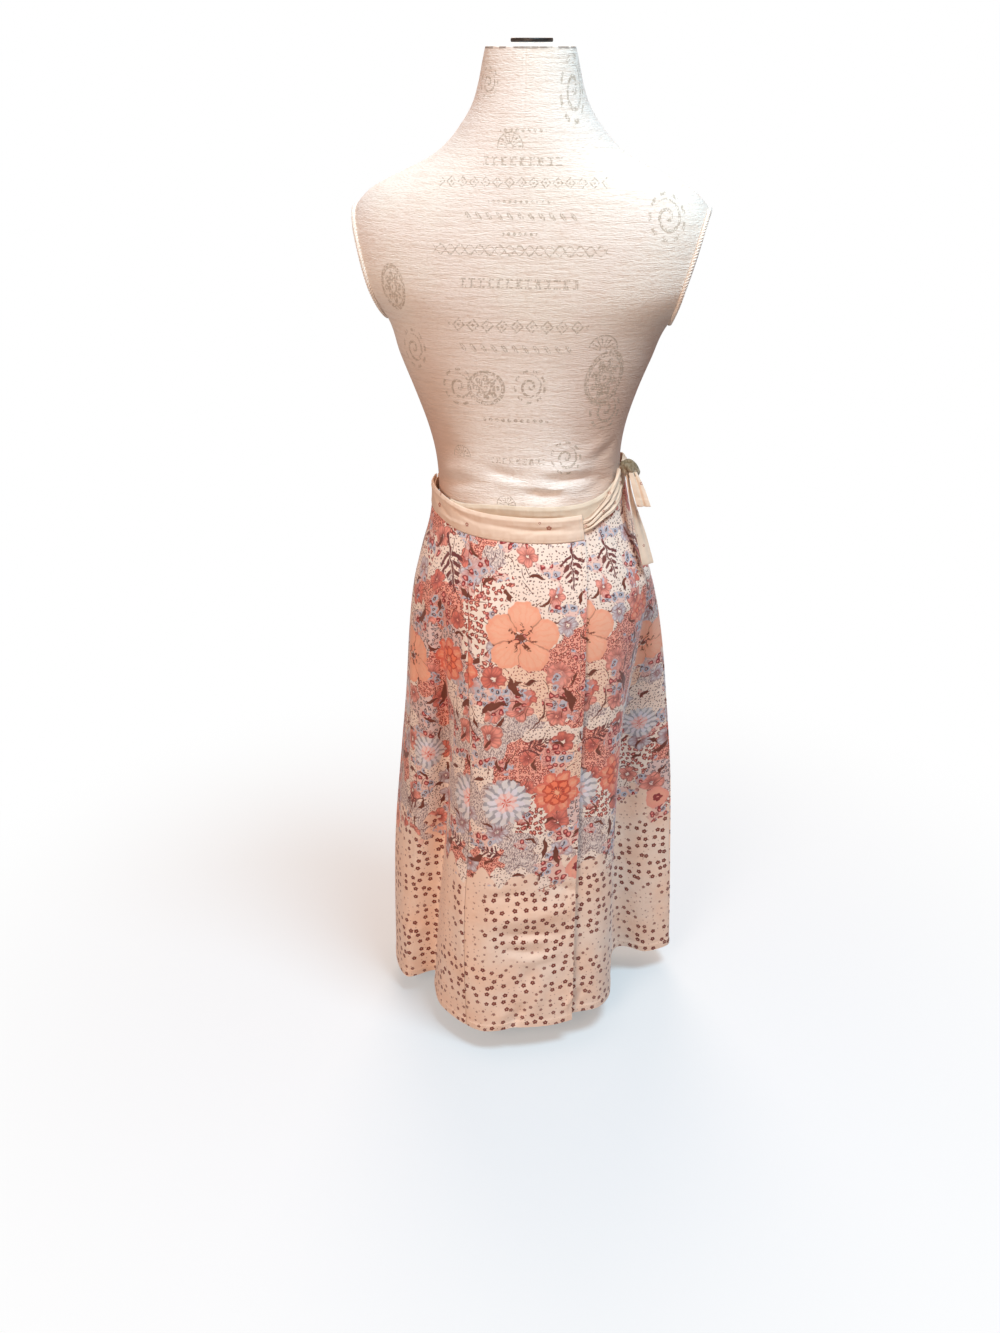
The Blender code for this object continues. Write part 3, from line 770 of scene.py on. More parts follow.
def add_wall(name, columns, rows, place, thickness, materials, print_at=0.0):
    """A closed wall of cloth.  place(across, up, lift) gives points for arrays of shares 0 to 1.

    Its middle column lies at print_at metres along the print.
    """
    bm = bmesh.new()
    bmesh.ops.create_grid(bm, x_segments=len(columns) - 1, y_segments=len(rows) - 1, size=0.5)
    faces = list(bm.faces)
    outer = len(bm.verts)
    bmesh.ops.extrude_face_region(bm, geom=faces, use_keep_orig=True)
    bm.verts.index_update()
    i, j = grid_places(bm, len(columns), len(rows))
    across, up = np.meshgrid(columns, rows)
    front, back = place(across, up, 0.0), place(across, up, -thickness)
    is_front = (np.arange(len(bm.verts)) < outer)[:, None]
    for vert, point in zip(bm.verts, np.where(is_front, front[j, i], back[j, i])):
        vert.co = point
    wide, tall = travelled(front, 1), travelled(front)
    wide -= wide[:, len(columns) // 2][:, None]
    flat = np.stack([wide + print_at, tall], axis=-1)[j, i]
    layer = bm.loops.layers.uv.new("flat")
    for face in bm.faces:
        for loop in face.loops:
            loop[layer].uv = flat[loop.vert.index]
        if len(materials) > 1 and all(vert.index >= outer for vert in face.verts):
            face.material_index = 1
    bmesh.ops.recalc_face_normals(bm, faces=bm.faces)
    piece = add_piece(name, bm, materials, sharp=60)
    step_up, step_across = front[1:, :-1] - front[:-1, :-1], front[:-1, 1:] - front[:-1, :-1]
    area = np.linalg.norm(np.cross(step_up, step_across), axis=2).sum()
    print(name, "columns", len(columns), "rows", len(rows), "cloth area", round(float(area), 4))
    return piece, float(area), (float(np.ptp(wide, axis=1).max()), float(tall[-1].max()))


print("cotton thickness:", CLOTH, "m")

# %% [markdown]
# ## The print
#
# The skirt is cut from a border print: a crowded bed of flowers from the waist to the knee,
# laid over a patchwork of small dotted and ringed grounds, which thins out to scattered brown
# florets towards the hem.  The design here is a general one, charted in a tile that repeats
# round the cloth.  Each motif is a formula in its own small coordinates, given by a Mapping
# node that centres, turns and sizes it.

# %% Colours of the print
CREAM = rgb(255, 240, 224)
PEACH = rgb(255, 220, 194)
PALE = rgb(255, 236, 220)
CORAL = rgb(226, 106, 90)
ORANGE = rgb(252, 158, 126)
SALMON = rgb(255, 190, 158)
ROSE = rgb(248, 164, 146)
BRICK = rgb(160, 66, 58)
WINE = rgb(150, 52, 56)
BROWN = rgb(112, 54, 40)
BLUE = rgb(156, 158, 166)
PALE_BLUE = rgb(232, 228, 226)
GREY = rgb(238, 222, 212)
INK = rgb(58, 50, 66)

TILE = 0.300  # the charted flowers repeat this far round the cloth
BED_LOW = 0.292  # the crowded bed ends about here, and scattered florets go on below it
BED_DIPS_AT, BED_SLOPE, BED_RAGGED, BED_DROP = 0.120, 0.22, 0.10, 0.012
FRINGE = 0.022  # how far the little clusters reach below the bed
BED_EDGE = 0.004  # softness of the bed's edge
WEAVE = 0.0011  # from one thread of the cotton to the next

# cell, length, half width in lengths, share of the cells that have a leaf
BROAD_LEAVES = (0.026, 0.0090, 0.25, 0.42)
NARROW_LEAVES = (0.019, 0.0105, 0.045, 0.55)
# ground, cell, jitter, radius of a floret, its colour and that of its middle
CORAL_PATCH = (rgb(250, 178, 156), 0.0050, 0.45, 0.0021, rgb(166, 60, 54), rgb(252, 196, 176))
CREAM_PATCH = (CREAM, 0.0074, 0.6, 0.0027, rgb(150, 58, 50), ROSE)
DUSK_PATCH = (rgb(234, 206, 198), 0.0062, 0.7, 0.0020, rgb(104, 68, 72), PALE_BLUE)
PATCH_EDGE = 0.004  # softness of the step from one ground to the next

LEAVES = (
    # across, up, turn, length, and half width and bend in lengths
    (0.030, 0.330, 40, 0.017, 0.24, 0.25),
    (0.020, 0.455, 75, 0.019, 0.22, 0.30),
    (0.088, 0.472, 20, 0.018, 0.24, -0.30),
    (0.112, 0.494, -62, 0.017, 0.24, 0.30),
    (0.180, 0.478, 110, 0.019, 0.22, 0.25),
    (0.206, 0.500, 68, 0.018, 0.22, -0.25),
    (0.228, 0.346, 20, 0.017, 0.24, 0.25),
    (0.156, 0.274, 85, 0.017, 0.22, 0.15),
    (0.170, 0.262, 104, 0.015, 0.24, -0.15),
    (0.290, 0.560, 60, 0.018, 0.22, 0.30),
    (0.070, 0.262, 30, 0.014, 0.26, 0.3),
)
STEMS = (
    # across, up, turn, length, and half width and bend in lengths
    (0.146, 0.455, 62, 0.026, 0.045, 0.35),
    (0.246, 0.600, 110, 0.030, 0.040, -0.30),
    (0.262, 0.290, 75, 0.026, 0.045, 0.30),
    (0.060, 0.440, 118, 0.024, 0.045, -0.30),
)
FERNS = (
    # across, up, turn, length
    (0.020, 0.652, -66, 0.056),
    (0.246, 0.662, -112, 0.056),
    (0.128, 0.412, 24, 0.036),
    (0.272, 0.298, 205, 0.034),
    (0.100, 0.270, 160, 0.030),
    (0.178, 0.655, -85, 0.044),
)
print("leaves", len(LEAVES), "stems", len(STEMS), "ferns", len(FERNS))

# %% [markdown]
# ### Motifs
#
# `at` gives a motif its own coordinates.  Petals are discs set round a ring, folded into one by
# wrapping the angle; a leaf is a lens bent along a parabola; a fern is a row of slanting
# strokes.  `scatter` gives the same for motifs that are strewn at random, one to a cell.

# %% Motif formulas


def at(tiles, across, up, turn, size):
    """A motif's own coordinates, 1 at its tip, in the tile whose cut is furthest from it."""
    whole, half = tiles
    if TILE / 4 <= across % TILE <= 3 * TILE / 4:
        tile = whole
    else:
        tile, across = half, (across + TILE / 2) % TILE - TILE / 2
    spot = {"Vector": tile, "Location": (across, up, 0), "Rotation": (0, 0, math.radians(turn))}
    return tile.node("Mapping", {"vector_type": "TEXTURE"}, {**spot, "Scale": (size, size, 1)})


def polar(spot):
    x, y = spot.split()
    return spot.length(), y.maths("ARCTAN2", y, x)


def scatter(flat, size, jitter):
    """Strewn places: metres to the nearest one, the angle round it, and two shares drawn for it."""
    cell = flat.cells(size, jitter)
    x, y = flat.less(cell.also("Position")).split()
    first, second = cell.also("Color").shares()
    return cell * size, y.maths("ARCTAN2", y, x), first, second


def petals(radius, angle, count, width):
    """Below 0 inside a ring of round petals that reach to 1."""
    folded = angle.wrap(-math.pi / count, math.pi / count)
    x, y = radius * folded.cos() - (1 - width), radius * folded.sin()
    return (x * x + y * y) ** 0.5 - width


def leaf_field(tiles, across, up, turn, length, width, bend):
    """Below 0 inside the leaf."""
    x, y = at(tiles, across, up, turn, length).split()
    bent = x * x
    return (abs(y - bent * bend) + bent * width - width) * length


def fern_mask(tiles, across, up, turn, length):
    x, y = at(tiles, across, up, turn, length).split()
    aside = abs(y)
    slant = x - aside * 0.75
    stroke = abs((slant * 5.0).maths("FRACT", slant * 5.0) - 0.5)
    reach = (1.0 - x) * 0.42 + 0.06
    inside = (reach - aside).over(0.02, 0.03) * slant.over(0.05, 0.03) * slant.under(0.9, 0.03)
    stem = aside.under(0.022, 0.02) * x.over(-0.30, 0.02) * x.under(0.98, 0.02)
    return (stroke.under(0.25, 0.10) * inside * aside.over(0.035, 0.03)).most(stem)


def blossom(ground, tiles, across, up, turn, size):
    """Five broad petals, a flush towards the middle and a small dark eye with stamens."""
    petal, deep, heart = SALMON, ORANGE, rgb(118, 58, 40)
    radius, angle = polar(at(tiles, across, up, turn, size))
    field = petals(radius, angle, 5, 0.43)
    inside = field.under(0.0, 0.03)
    edge = abs(angle.wrap(-math.pi / 5, math.pi / 5)).over(0.60, 0.03) * radius.under(0.78, 0.2)
    painted = ground.paint(inside, petal)
    painted = painted.paint(inside * radius.under(0.35, 0.6) * 0.55, deep)
    painted = painted.paint(inside * field.over(-0.10, 0.08) * 0.35, deep)
    painted = painted.paint(inside * edge * 0.45, heart)
    ragged = tiles[0].noise(300, 1)
    petal_veins = (angle * 25 + ragged * 3).cos().over(0.7, 0.4) * radius.over(0.35, 0.3)
    painted = painted.paint(inside * petal_veins * 0.30, deep)
    stamens = (angle * 7 + ragged * 6).cos().over(0.66, 0.30)
    stamens = stamens * (radius + ragged * 0.4).under(0.56, 0.08)
    return painted.paint(stamens.most(radius.under(0.10, 0.05)), heart)


def dahlia(ground, tiles, across, up, turn, size):
    """Three rows of narrow ragged petals round a pink heart."""
    radius, angle = polar(at(tiles, across, up, turn, size))
    ragged = tiles[0].noise(420, 1) - 0.5
    radius = radius + ragged * 0.16
    outer, middle, inner = (angle * 15).cos(), (angle * 12 + 1.0).cos(), (angle * 8 + 2.0).cos()
    painted = ground.paint((radius - outer * 0.10).under(0.88, 0.05), PALE_BLUE)
    painted = painted.paint(outer.under(-0.35, 0.6) * radius.under(0.92, 0.1) * 0.8, BLUE)
    painted = painted.paint((radius - middle * 0.08).under(0.62, 0.05), rgb(236, 232, 238))
    painted = painted.paint(middle.under(-0.4, 0.6) * radius.under(0.64, 0.08) * 0.7, BLUE)
    painted = painted.paint((radius - inner * 0.07).under(0.40, 0.05), rgb(252, 222, 216))
    painted = painted.paint(inner.under(-0.3, 0.6) * radius.under(0.40, 0.06) * 0.6, ROSE)
    return painted.paint((angle * 6).cos().over(0.2, 0.6) * radius.under(0.18, 0.05), CORAL)


def bloom(ground, tiles, across, up, turn, size):
    """An orange flower with two rows of ragged petals."""
    radius, angle = polar(at(tiles, across, up, turn, size))
    ragged = tiles[0].noise(300, 1) - 0.5
    radius = radius + ragged * 0.14
    outer, inner = petals(radius, angle, 8, 0.30), petals(radius * 1.65, angle + 0.4, 7, 0.34)
    covered = outer.under(0.0, 0.03).most(radius.under(0.66, 0.03))
    painted = ground.paint(covered, ORANGE)
    streaks = covered * (angle * 24).cos().over(0.3, 0.6)
    painted = painted.paint(streaks * radius.over(0.45, 0.3) * 0.5, rgb(255, 194, 158))
    painted = painted.paint(outer.over(-0.12, 0.08) * outer.under(0.0, 0.03) * 0.8, CORAL)
    second_row = inner.under(0.0, 0.04).most(radius.under(0.36, 0.04))
    painted = painted.paint(second_row, rgb(255, 136, 98))
    its_rim = inner.over(-0.13, 0.08) * inner.under(0.0, 0.04)
    painted = painted.paint(its_rim * 0.8, rgb(196, 62, 46))
    painted = painted.paint((angle * 13).cos().over(0.5, 0.5) * radius.under(0.27, 0.05), BRICK)
    return painted.paint(radius.under(0.09, 0.04), rgb(255, 190, 150))


def round_bloom(ground, tiles, across, up, turn, size):
    radius, angle = polar(at(tiles, across, up, turn, size))
    painted = ground.paint((radius - (angle * 3).cos() * 0.04).under(0.93, 0.05), ROSE)
    painted = painted.paint(radius.under(0.74, 0.5) * 0.5, SALMON)
    painted = painted.paint(petals(radius * 2.6, angle, 5, 0.42).under(0.0, 0.08), WINE)
    return painted.paint(radius.under(0.07, 0.05), ROSE)


def ringed_patch(drawn, ground, size, jitter, radius, ink, middle):
    """Small ringed florets, one to a cell: a dark five-lobed disc with a light middle."""
    colour = plain(drawn, ground)
    away, angle, first, _ = scatter(drawn, size, jitter)
    lobed = away - (angle * 5 + first * 6).cos() * radius * 0.13
    colour = colour.paint(lobed.under(radius, radius * 0.25), ink)
    return colour.paint(away.under(radius * 0.42, radius * 0.3), middle)


FLOWERS = (
    # motif, across, up, turn, size
    (blossom, 0.122, 0.556, 12, 0.044),
    (blossom, 0.268, 0.500, 40, 0.037),
    (bloom, 0.168, 0.352, 25, 0.030),
    (bloom, 0.040, 0.512, 0, 0.029),
    (bloom, 0.216, 0.560, 60, 0.020),
    (dahlia, 0.106, 0.342, 0, 0.032),
    (dahlia, 0.222, 0.430, 30, 0.028),
    (dahlia, 0.290, 0.372, 10, 0.025),
    (round_bloom, 0.030, 0.250, 0, 0.0175),
    (round_bloom, 0.200, 0.238, 40, 0.0175),
)
print("flowers charted:", len(FLOWERS), "in a tile of", TILE, "m")

# %% [markdown]
# ### Grounds and layers
#
# The print is built as it is printed, one colour over another: the small grounds first, then
# strewn flowers, little clusters, the large flowers, and last the brown leaves and ferns.  A
# soft noise bends every outline a little, so that nothing looks ruled.

# %% The whole print


def border_ground(flat, up):
    """Peach cloth with scattered florets, which shrink to faint dots here and there."""
    colour = plain(flat, PEACH).paint(flat.noise(14, 3).over(0.5, 0.5) * 0.6, CREAM)
    spread = flat.noise(11, 1)
    away, angle, first, second = scatter(flat, 0.0130, 0.66)
    size = ((spread - 0.27) * 0.012 + up * 0.003 + second * 0.0006).least(0.0031).most(0.0012)
    lobed = away - (angle * 5 + first * 6).cos() * size * 0.13
    printed = (lobed - size).under(0.0, 0.0007) * (size * 190 + 0.42)
    colour = colour.paint(printed, rgb(122, 48, 38))
    eye = (away - size * 0.22).under(0.0, 0.0006) * size.over(0.0024, 0.0008)
    colour = colour.paint(eye * 0.7, PEACH)
    away, angle, first, second = scatter(flat, 0.0078, 0.8)
    return colour.paint(away.under(0.0009, 0.0006) * first.over(0.55, 0.02) * 0.5, rgb(150, 88, 70))


def patchwork(flat, drawn):
    """The bed's grounds: a few small repeats, one for each large wavy cell."""
    pick = flat.wander(24.0, 2.0, 0.065).cells(0.052, 0.9).also("Color").shares()[0]
    speck = drawn.cells(0.0042, 0.7).under(0.20, 0.12)
    colour = plain(flat, PALE).paint(speck, rgb(116, 76, 68))
    coral = ringed_patch(drawn, *CORAL_PATCH)
    colour = colour.paint(pick.over(0.28, PATCH_EDGE), coral)
    slanted = {"Vector": drawn, "Rotation": (0, 0, 0.9), "Scale": (1.0, 0.42, 1)}
    strokes = flat.node("Mapping", {}, slanted)
    grey = plain(flat, GREY)
    grey = grey.paint(strokes.noise(760, 1).over(0.52, 0.07) * 0.85, rgb(138, 112, 114))
    colour = colour.paint(pick.over(0.45, PATCH_EDGE), grey)
    warm = plain(flat, PEACH).paint(speck, BRICK)
    colour = colour.paint(pick.over(0.60, PATCH_EDGE), warm)
    ringed = ringed_patch(drawn, *CREAM_PATCH)
    colour = colour.paint(pick.over(0.75, PATCH_EDGE), ringed)
    dusk = ringed_patch(drawn, *DUSK_PATCH)
    return colour.paint(pick.over(0.92, PATCH_EDGE), dusk)


def strewn_flowers(colour, drawn, bed):
    """Middling flowers of five petals, pink, orange or blue, one to a large cell."""
    away, angle, first, second = scatter(drawn, 0.040, 0.85)
    radius = away / (second * 0.008 + 0.0105)
    field = petals(radius, angle + first * 6, 5, 0.42)
    inside = field.under(0.0, 0.05) * first.under(0.66, 0.01) * bed
    colour = colour.paint(inside * first.under(0.24, 0.01), ROSE)
    orange = inside * first.over(0.24, 0.01) * first.under(0.42, 0.01)
    colour = colour.paint(orange, rgb(232, 130, 112))
    colour = colour.paint(inside * first.over(0.42, 0.01), rgb(218, 214, 218))
    veins = (angle * 15).cos().over(0.55, 0.4) * radius.over(0.25, 0.1)
    colour = colour.paint(inside * veins * 0.34, rgb(156, 84, 78))
    colour = colour.paint(inside * radius.under(0.46, 0.45) * 0.60, WINE)
    colour = colour.paint(inside * field.over(-0.12, 0.09) * 0.40, rgb(140, 76, 70))
    return colour.paint(inside * radius.under(0.17, 0.08), rgb(52, 30, 34))


def clusters(colour, drawn, bed):
    """Close heads of tiny blue flowers and red berries in a pink haze."""
    held = drawn.noise(26, 1).over(0.585, 0.02) * bed
    away, angle, first, second = scatter(drawn, 0.0094, 0.75)
    radius = away / 0.0048
    field = petals(radius, angle + second * 6, 5, 0.42).under(0.0, 0.10) * held
    berry = radius.under(0.72, 0.12) * held * first.over(0.50, 0.01)
    blue = field * first.under(0.50, 0.01)
    colour = colour.paint(held * 0.50, rgb(236, 176, 164)).paint(blue, rgb(198, 198, 208))
    colour = colour.paint(blue * radius.under(0.42, 0.20), INK).paint(berry, rgb(150, 44, 50))
    return colour.paint(berry * radius.under(0.34, 0.14), rgb(244, 150, 140))


def strewn_leaves(colour, drawn, bed, size, length, width, share):
    """Brown leaves, one to a cell, each at its own angle and bent one way or the other."""
    away, angle, first, second = scatter(drawn, size, 0.85)
    turned = angle - first * (2 * math.pi * 7)
    x, y = away * turned.cos() / length, away * turned.sin() / length
    bent = x * x
    field = abs(y - bent * (second - 0.5)) + bent * width - width
    return colour.paint(field.under(0.0, 0.05) * second.under(share, 0.01) * bed, BROWN)


def print_colour(flat):
    """The print's colour at each place of the flat cut, whose hem is at 0."""
    drawn = flat.wander(110.0, 1.0, 0.0060)
    across, up = drawn.split()
    whole = up.node("CombineXYZ", {}, {0: across.wrap(0, TILE), 1: up})
    half = up.node("CombineXYZ", {}, {0: across.wrap(-TILE / 2, TILE / 2), 1: up})
    tiles = (whole, half)
    aside = abs((across - BED_DIPS_AT).wrap(-TILE / 2, TILE / 2))
    depth = up + flat.noise(22, 1) * BED_RAGGED - aside * BED_SLOPE + BED_DROP
    bed, fringe = depth.over(BED_LOW, BED_EDGE), depth.over(BED_LOW - FRINGE, BED_EDGE)

    colour = border_ground(flat, flat.split()[1]).paint(bed, patchwork(flat, drawn))
    colour = strewn_flowers(colour, drawn, bed)
    colour = clusters(colour, drawn, fringe)
    colour = strewn_leaves(colour, drawn, bed, *BROAD_LEAVES)
    colour = strewn_leaves(colour, flat.moved((0.31, 0.17, 0)), bed, *NARROW_LEAVES)
    for flower, *spot in FLOWERS:
        colour = flower(colour, tiles, *spot)
    leaves = None
    for row in LEAVES + STEMS:
        field = leaf_field(tiles, *row)
        leaves = field if leaves is None else leaves.least(field)
    colour = colour.paint(leaves.under(0.0, 0.0008), BROWN)
    for row in FERNS:
        colour = colour.paint(fern_mask(tiles, *row), rgb(112, 54, 54))
    return colour


def woven(flat, pitch):
    """Height of a plain weave of this pitch: threads over and under each other."""
    across, up = flat.split()
    rate = math.pi / pitch
    return (across * rate).cos() * (up * rate).cos()


def print_material():
    made, shader, start = new_material(
        "printed_cotton_face", 0.85, Sheen_Weight=0.25, Specular_IOR_Level=0.25
    )
    flat = flat_map(start)
    colour = print_colour(flat)
    colour = colour.paint(flat.noise(45, 3).under(0.5, 0.7) * 0.10, rgb(228, 158, 124))
    crumple = flat.noise(38, 3) * 0.8 + woven(flat, WEAVE) * 0.035 + flat.noise(330, 2) * 0.10
    finish_material(shader, colour, crumple, 0.0017, flat.noise(70, 2) * 0.14 + 0.76)
    return made


def wrong_side_material():
    """The back of the cloth: the ground colour, with the print showing through as pale blots."""
    made, shader, start = new_material("printed_cotton_back", 0.9, Specular_IOR_Level=0.2)
    flat = flat_map(start)
    up = flat.split()[1]
    blots = flat.noise(60, 3).over(0.52, 0.2) * up.over(0.25, 0.05) * 0.5
    colour = plain(flat, rgb(248, 218, 196)).paint(blots, rgb(230, 172, 150))
    cool = flat.noise(34, 2).over(0.6, 0.15) * up.over(0.25, 0.05) * 0.4
    colour = colour.paint(cool, rgb(204, 200, 208))
    finish_material(shader, colour, flat.noise(38, 3) + woven(flat, WEAVE) * 0.05, 0.0012)
    return made


PRINT, WRONG_SIDE = print_material(), wrong_side_material()
print("print nodes:", len(PRINT.node_tree.nodes))

# %% [markdown]
# ## The skirt's panels
#
# Four pieces are sewn: the under back that the wrap covers, the front, the left back, and the
# over back whose free edge hangs behind the right leg.  At a seam each edge rolls in, which
# draws the fine dark line between two pieces.  The hem and the free edges are turned back once,
# so the cloth is thicker there and steps down at the line of stitching.

# %% Panels
PANEL_PITCH = 0.0034
TURNED = 0.009  # depth of the turned hem and edges
TURN_LIFT, TURN_STEP = 0.0004, 0.0012
SEAM_ROLL, SEAM_ROLL_WIDTH = 0.0007, 0.0016
NEAR_EDGE = (0.0, 0.0012, 0.0030, 0.0060, 0.0084, 0.0096)


def gap_turn(turn, gap):
    """Degrees of turn that span this much of the waist."""
    return np.degrees(gap / np.minimum.reduce(section_at(CLOTH_SECTIONS, seam_height(turn))))


def hem_columns(start, end, pitch):
    """Shares of the way between two turns that cut the hem evenly, closer at the edges."""
    turns = np.linspace(start, end, 600)
    lengths = travelled(cloth_point(turns, HEM_HEIGHT))
    wanted = even(lengths[-1], pitch, NEAR_EDGE) * lengths[-1]
    return np.interp(wanted, lengths, np.linspace(0, 1, len(turns))), lengths[-1]


def add_panel(name, left, right, print_at, free_left, free_right):
    columns, hem_length = hem_columns(left[0], right[0], PANEL_PITCH)
    length = float(seam_height(left[-1]) - HEM_HEIGHT)
    rows = even(length, PANEL_PITCH, NEAR_EDGE)

    def place(across, up, lift):
        start, end = through(SEAM_LEVELS, left, up), through(SEAM_LEVELS, right, up)
        start = start + (0 if free_left else gap_turn(start, SEAM_GAP / 2))
        end = end - (0 if free_right else gap_turn(end, SEAM_GAP / 2))
        turn = mix(start, end, across)
        top = seam_height(turn) - SEAM_GAP
        height = mix(hem_height(turn), top, up)
        from_left, from_right = across * hem_length, (1 - across) * hem_length
        from_hem, from_top = up * length, (1 - up) * length
        turned = smooth((TURNED - from_hem) / TURN_STEP + 0.5)
        roll = np.exp(-from_top / SEAM_ROLL_WIDTH)
        for free, edge in ((free_left, from_left), (free_right, from_right)):
            if free:
                turned = np.maximum(turned, smooth((TURNED - edge) / TURN_STEP + 0.5))
            else:
                roll = np.maximum(roll, np.exp(-edge / SEAM_ROLL_WIDTH))
        outside = 1.0 if lift == 0 else -0.6
        return cloth_point(turn, height, lift + TURN_LIFT * turned * outside - SEAM_ROLL * roll)

    return add_wall(name, columns, rows, place, CLOTH, (PRINT, WRONG_SIDE), print_at)


PANELS = (
    # piece, node, left edge, right edge, place on the print, free edges
    ("skirt_under_back", "panel_under_back", UNDER_EDGE, RIGHT_SEAM, 0.145, (True, False)),
    ("skirt_front", "panel_front", RIGHT_SEAM, LEFT_SEAM, 0.150, (False, False)),
    ("skirt_left_back", "panel_left_back", LEFT_SEAM, BACK_SEAM, -0.020, (False, False)),
    ("skirt_over_back", "panel_over_back", BACK_SEAM, WRAP_EDGE, 0.128, (False, True)),
)
for name, node, left, right, print_at, free in PANELS:
    made = add_panel(name, left, right, print_at, *free)
    finish_sheet(made, "skirt_print", node)

# %% [markdown]
# ## The waistband and the ties
#
# The band is a folded strip, so its edges are round and it stands a little proud of the cloth.
# Its over end runs on into one tie, which is crushed into three ridges by the pull of the knot.
# The other tie starts at the under end, comes out through a slot in the left side seam, and
# goes round the front to meet it at the right hip.

# %% Cream cotton of the band and the ties


def band_material(name, ground, shade, florets, biggest=0.0019):
    """Plain cotton with small faded florets here and there, and painted shade in marked furrows."""
    made, shader, start = new_material(name, 0.86, Sheen_Weight=0.2, Specular_IOR_Level=0.25)
    flat = flat_map(start)
    colour = plain(flat, ground).paint(flat.noise(60, 3).over(0.5, 0.5) * 0.4, shade)
    away, angle, first, second = scatter(flat, 0.023, 0.9)
    lobed = away - (angle * 5 + first * 6).cos() * 0.00035
    inside = (lobed - second * biggest).under(0.0012, 0.0006) * first.over(1 - florets, 0.02)
    colour = colour.paint(inside * 0.85, rgb(166, 92, 72))
    colour = colour.paint(inside * away.under(0.0007, 0.0005), ground)
    # painted shade: brown in the furrows that a tie marks in its furrow attribute
    furrow = flat.node("Attribute", {"attribute_name": "furrow"}, {}, "Fac")
    colour = colour.paint(furrow * 0.75, rgb(150, 108, 82))
    crumple = flat.noise(90, 3) + woven(flat, WEAVE) * 0.10 + flat.noise(330, 2) * 0.15
    finish_material(shader, colour, crumple, 0.0008, flat.noise(80, 2) * 0.12 + 0.78)
    return made


BAND_COTTON = band_material("band_cotton_face", rgb(240, 213, 190), rgb(228, 194, 166), 0.6)
# painted shade: the under band's cotton is a darker copy of the band's, with fewer florets
SHADED_UNDER_COTTON = band_material("under_band_cotton_shaded", rgb(228, 208, 184), rgb(204, 182, 156), 0.3)
TIE_COTTON = band_material("tie_cotton_face", rgb(240, 216, 192), rgb(212, 184, 156), 0.5, 0.0009)
print("cottons:", [made.name for made in (BAND_COTTON, SHADED_UNDER_COTTON, TIE_COTTON)])

# %% [markdown]
# ### The band's three lengths
#
# Each length is a wall of cloth whose edges fall back where the strip is folded, with a fine
# furrow along its stitching.  Its creases are pressed in from a table, as in the panels, and
# small puckers follow the stitches.

# %% Bands
WAIST_METRES = 0.0019  # along the waist, for one degree of turn
BAND_EDGES = (0.0, 0.0004, 0.0010, 0.0018, 0.0026, 0.0034)
BAND_STITCH_IN = 0.0024  # from the band's edge to its stitching
SLOT = 0.0120
BAND_CREASES = (
    # from turn and height above the seam, to turn and height, half width, lift
    (-26, 0.0170, 36, 0.0125, 0.0026, -0.0016),
    (-8, 0.0110, 34, 0.0180, 0.0018, -0.0009),
    (-48, 0.0230, -20, 0.0140, 0.0020, -0.0009),
    (-62, 0.0180, -44, 0.0080, 0.0022, -0.0010),
    (-74, 0.0240, -60, 0.0100, 0.0026, 0.0010),
    (4, 0.0080, 10, 0.0130, 0.0014, -0.0009),
    (-56, 0.0060, -30, 0.0090, 0.0020, 0.0007),
    (100, 0.0080, 128, 0.0170, 0.0024, -0.0011),
    (150, 0.0160, 184, 0.0110, 0.0024, -0.0010),
    (204, 0.0100, 236, 0.0180, 0.0024, -0.0011),
)


def folded_edge(edge, depth):
    """How far a folded and stitched edge falls back, and the furrow that its stitching pulls."""
    return depth * np.exp(-edge / 0.0008) + 0.00030 * bump_shape(edge - BAND_STITCH_IN, 0.0007)


def add_band(name, start, end, cotton):
    length = (end - start) * WAIST_METRES
    columns, rows = even(length, 0.0024, BAND_EDGES), even(BAND_WIDTH, 0.0020, BAND_EDGES)

    def place(across, up, lift):
        turn = mix(start, end, across)
        edge = np.minimum(up, 1 - up) * BAND_WIDTH
        side = np.minimum(across, 1 - across) * length
        fall = folded_edge(edge, 0.0008) + folded_edge(side, 0.0005)
        swing = np.sin(turn * 3.1 + 3 * np.sin(turn * 0.7))
        puckers = 0.00035 * swing * bump_shape(edge - 0.004, 0.006)
        creases = crease_lift(turn, BAND_WIDTH * up, BAND_CREASES, WAIST_METRES)
        top_roll = 0.0009 * bump_shape((1 - up) * BAND_WIDTH - 0.0038, 0.0022)
        puff = 0.0004 * np.sin(np.pi * up) + top_roll
        if lift == 0:
            out = BAND_PROUD + puff - fall + (puckers + creases)
        else:
            out = BAND_PROUD + fall * 0.7
        return cloth_point(turn, seam_height(turn) + BAND_WIDTH * up, lift + out)

    print_at = start * WAIST_METRES
    return add_wall(name, columns, rows, place, BAND_THICKNESS, (cotton,), print_at)


HALF_SEAM = float(gap_turn(RIGHT_SEAM[-1], SEAM_GAP / 2))
HALF_SLOT = float(gap_turn(LEFT_SEAM[-1], SLOT / 2))
BANDS = (
    # piece, node, start and end turn
    ("waistband_under", "band_under", UNDER_EDGE[-1], RIGHT_SEAM[-1] - HALF_SEAM),
    ("waistband_front", "band_front", RIGHT_SEAM[-1] + HALF_SEAM, LEFT_SEAM[-1] - HALF_SLOT),
    ("waistband_over", "band_over", LEFT_SEAM[-1] + HALF_SLOT, WRAP_EDGE[-1]),
)
for name, node, start, end in BANDS:
    cotton = SHADED_UNDER_COTTON if node == "band_under" else BAND_COTTON
    finish_sheet(add_band(name, start, end, cotton), "band_cotton", node)
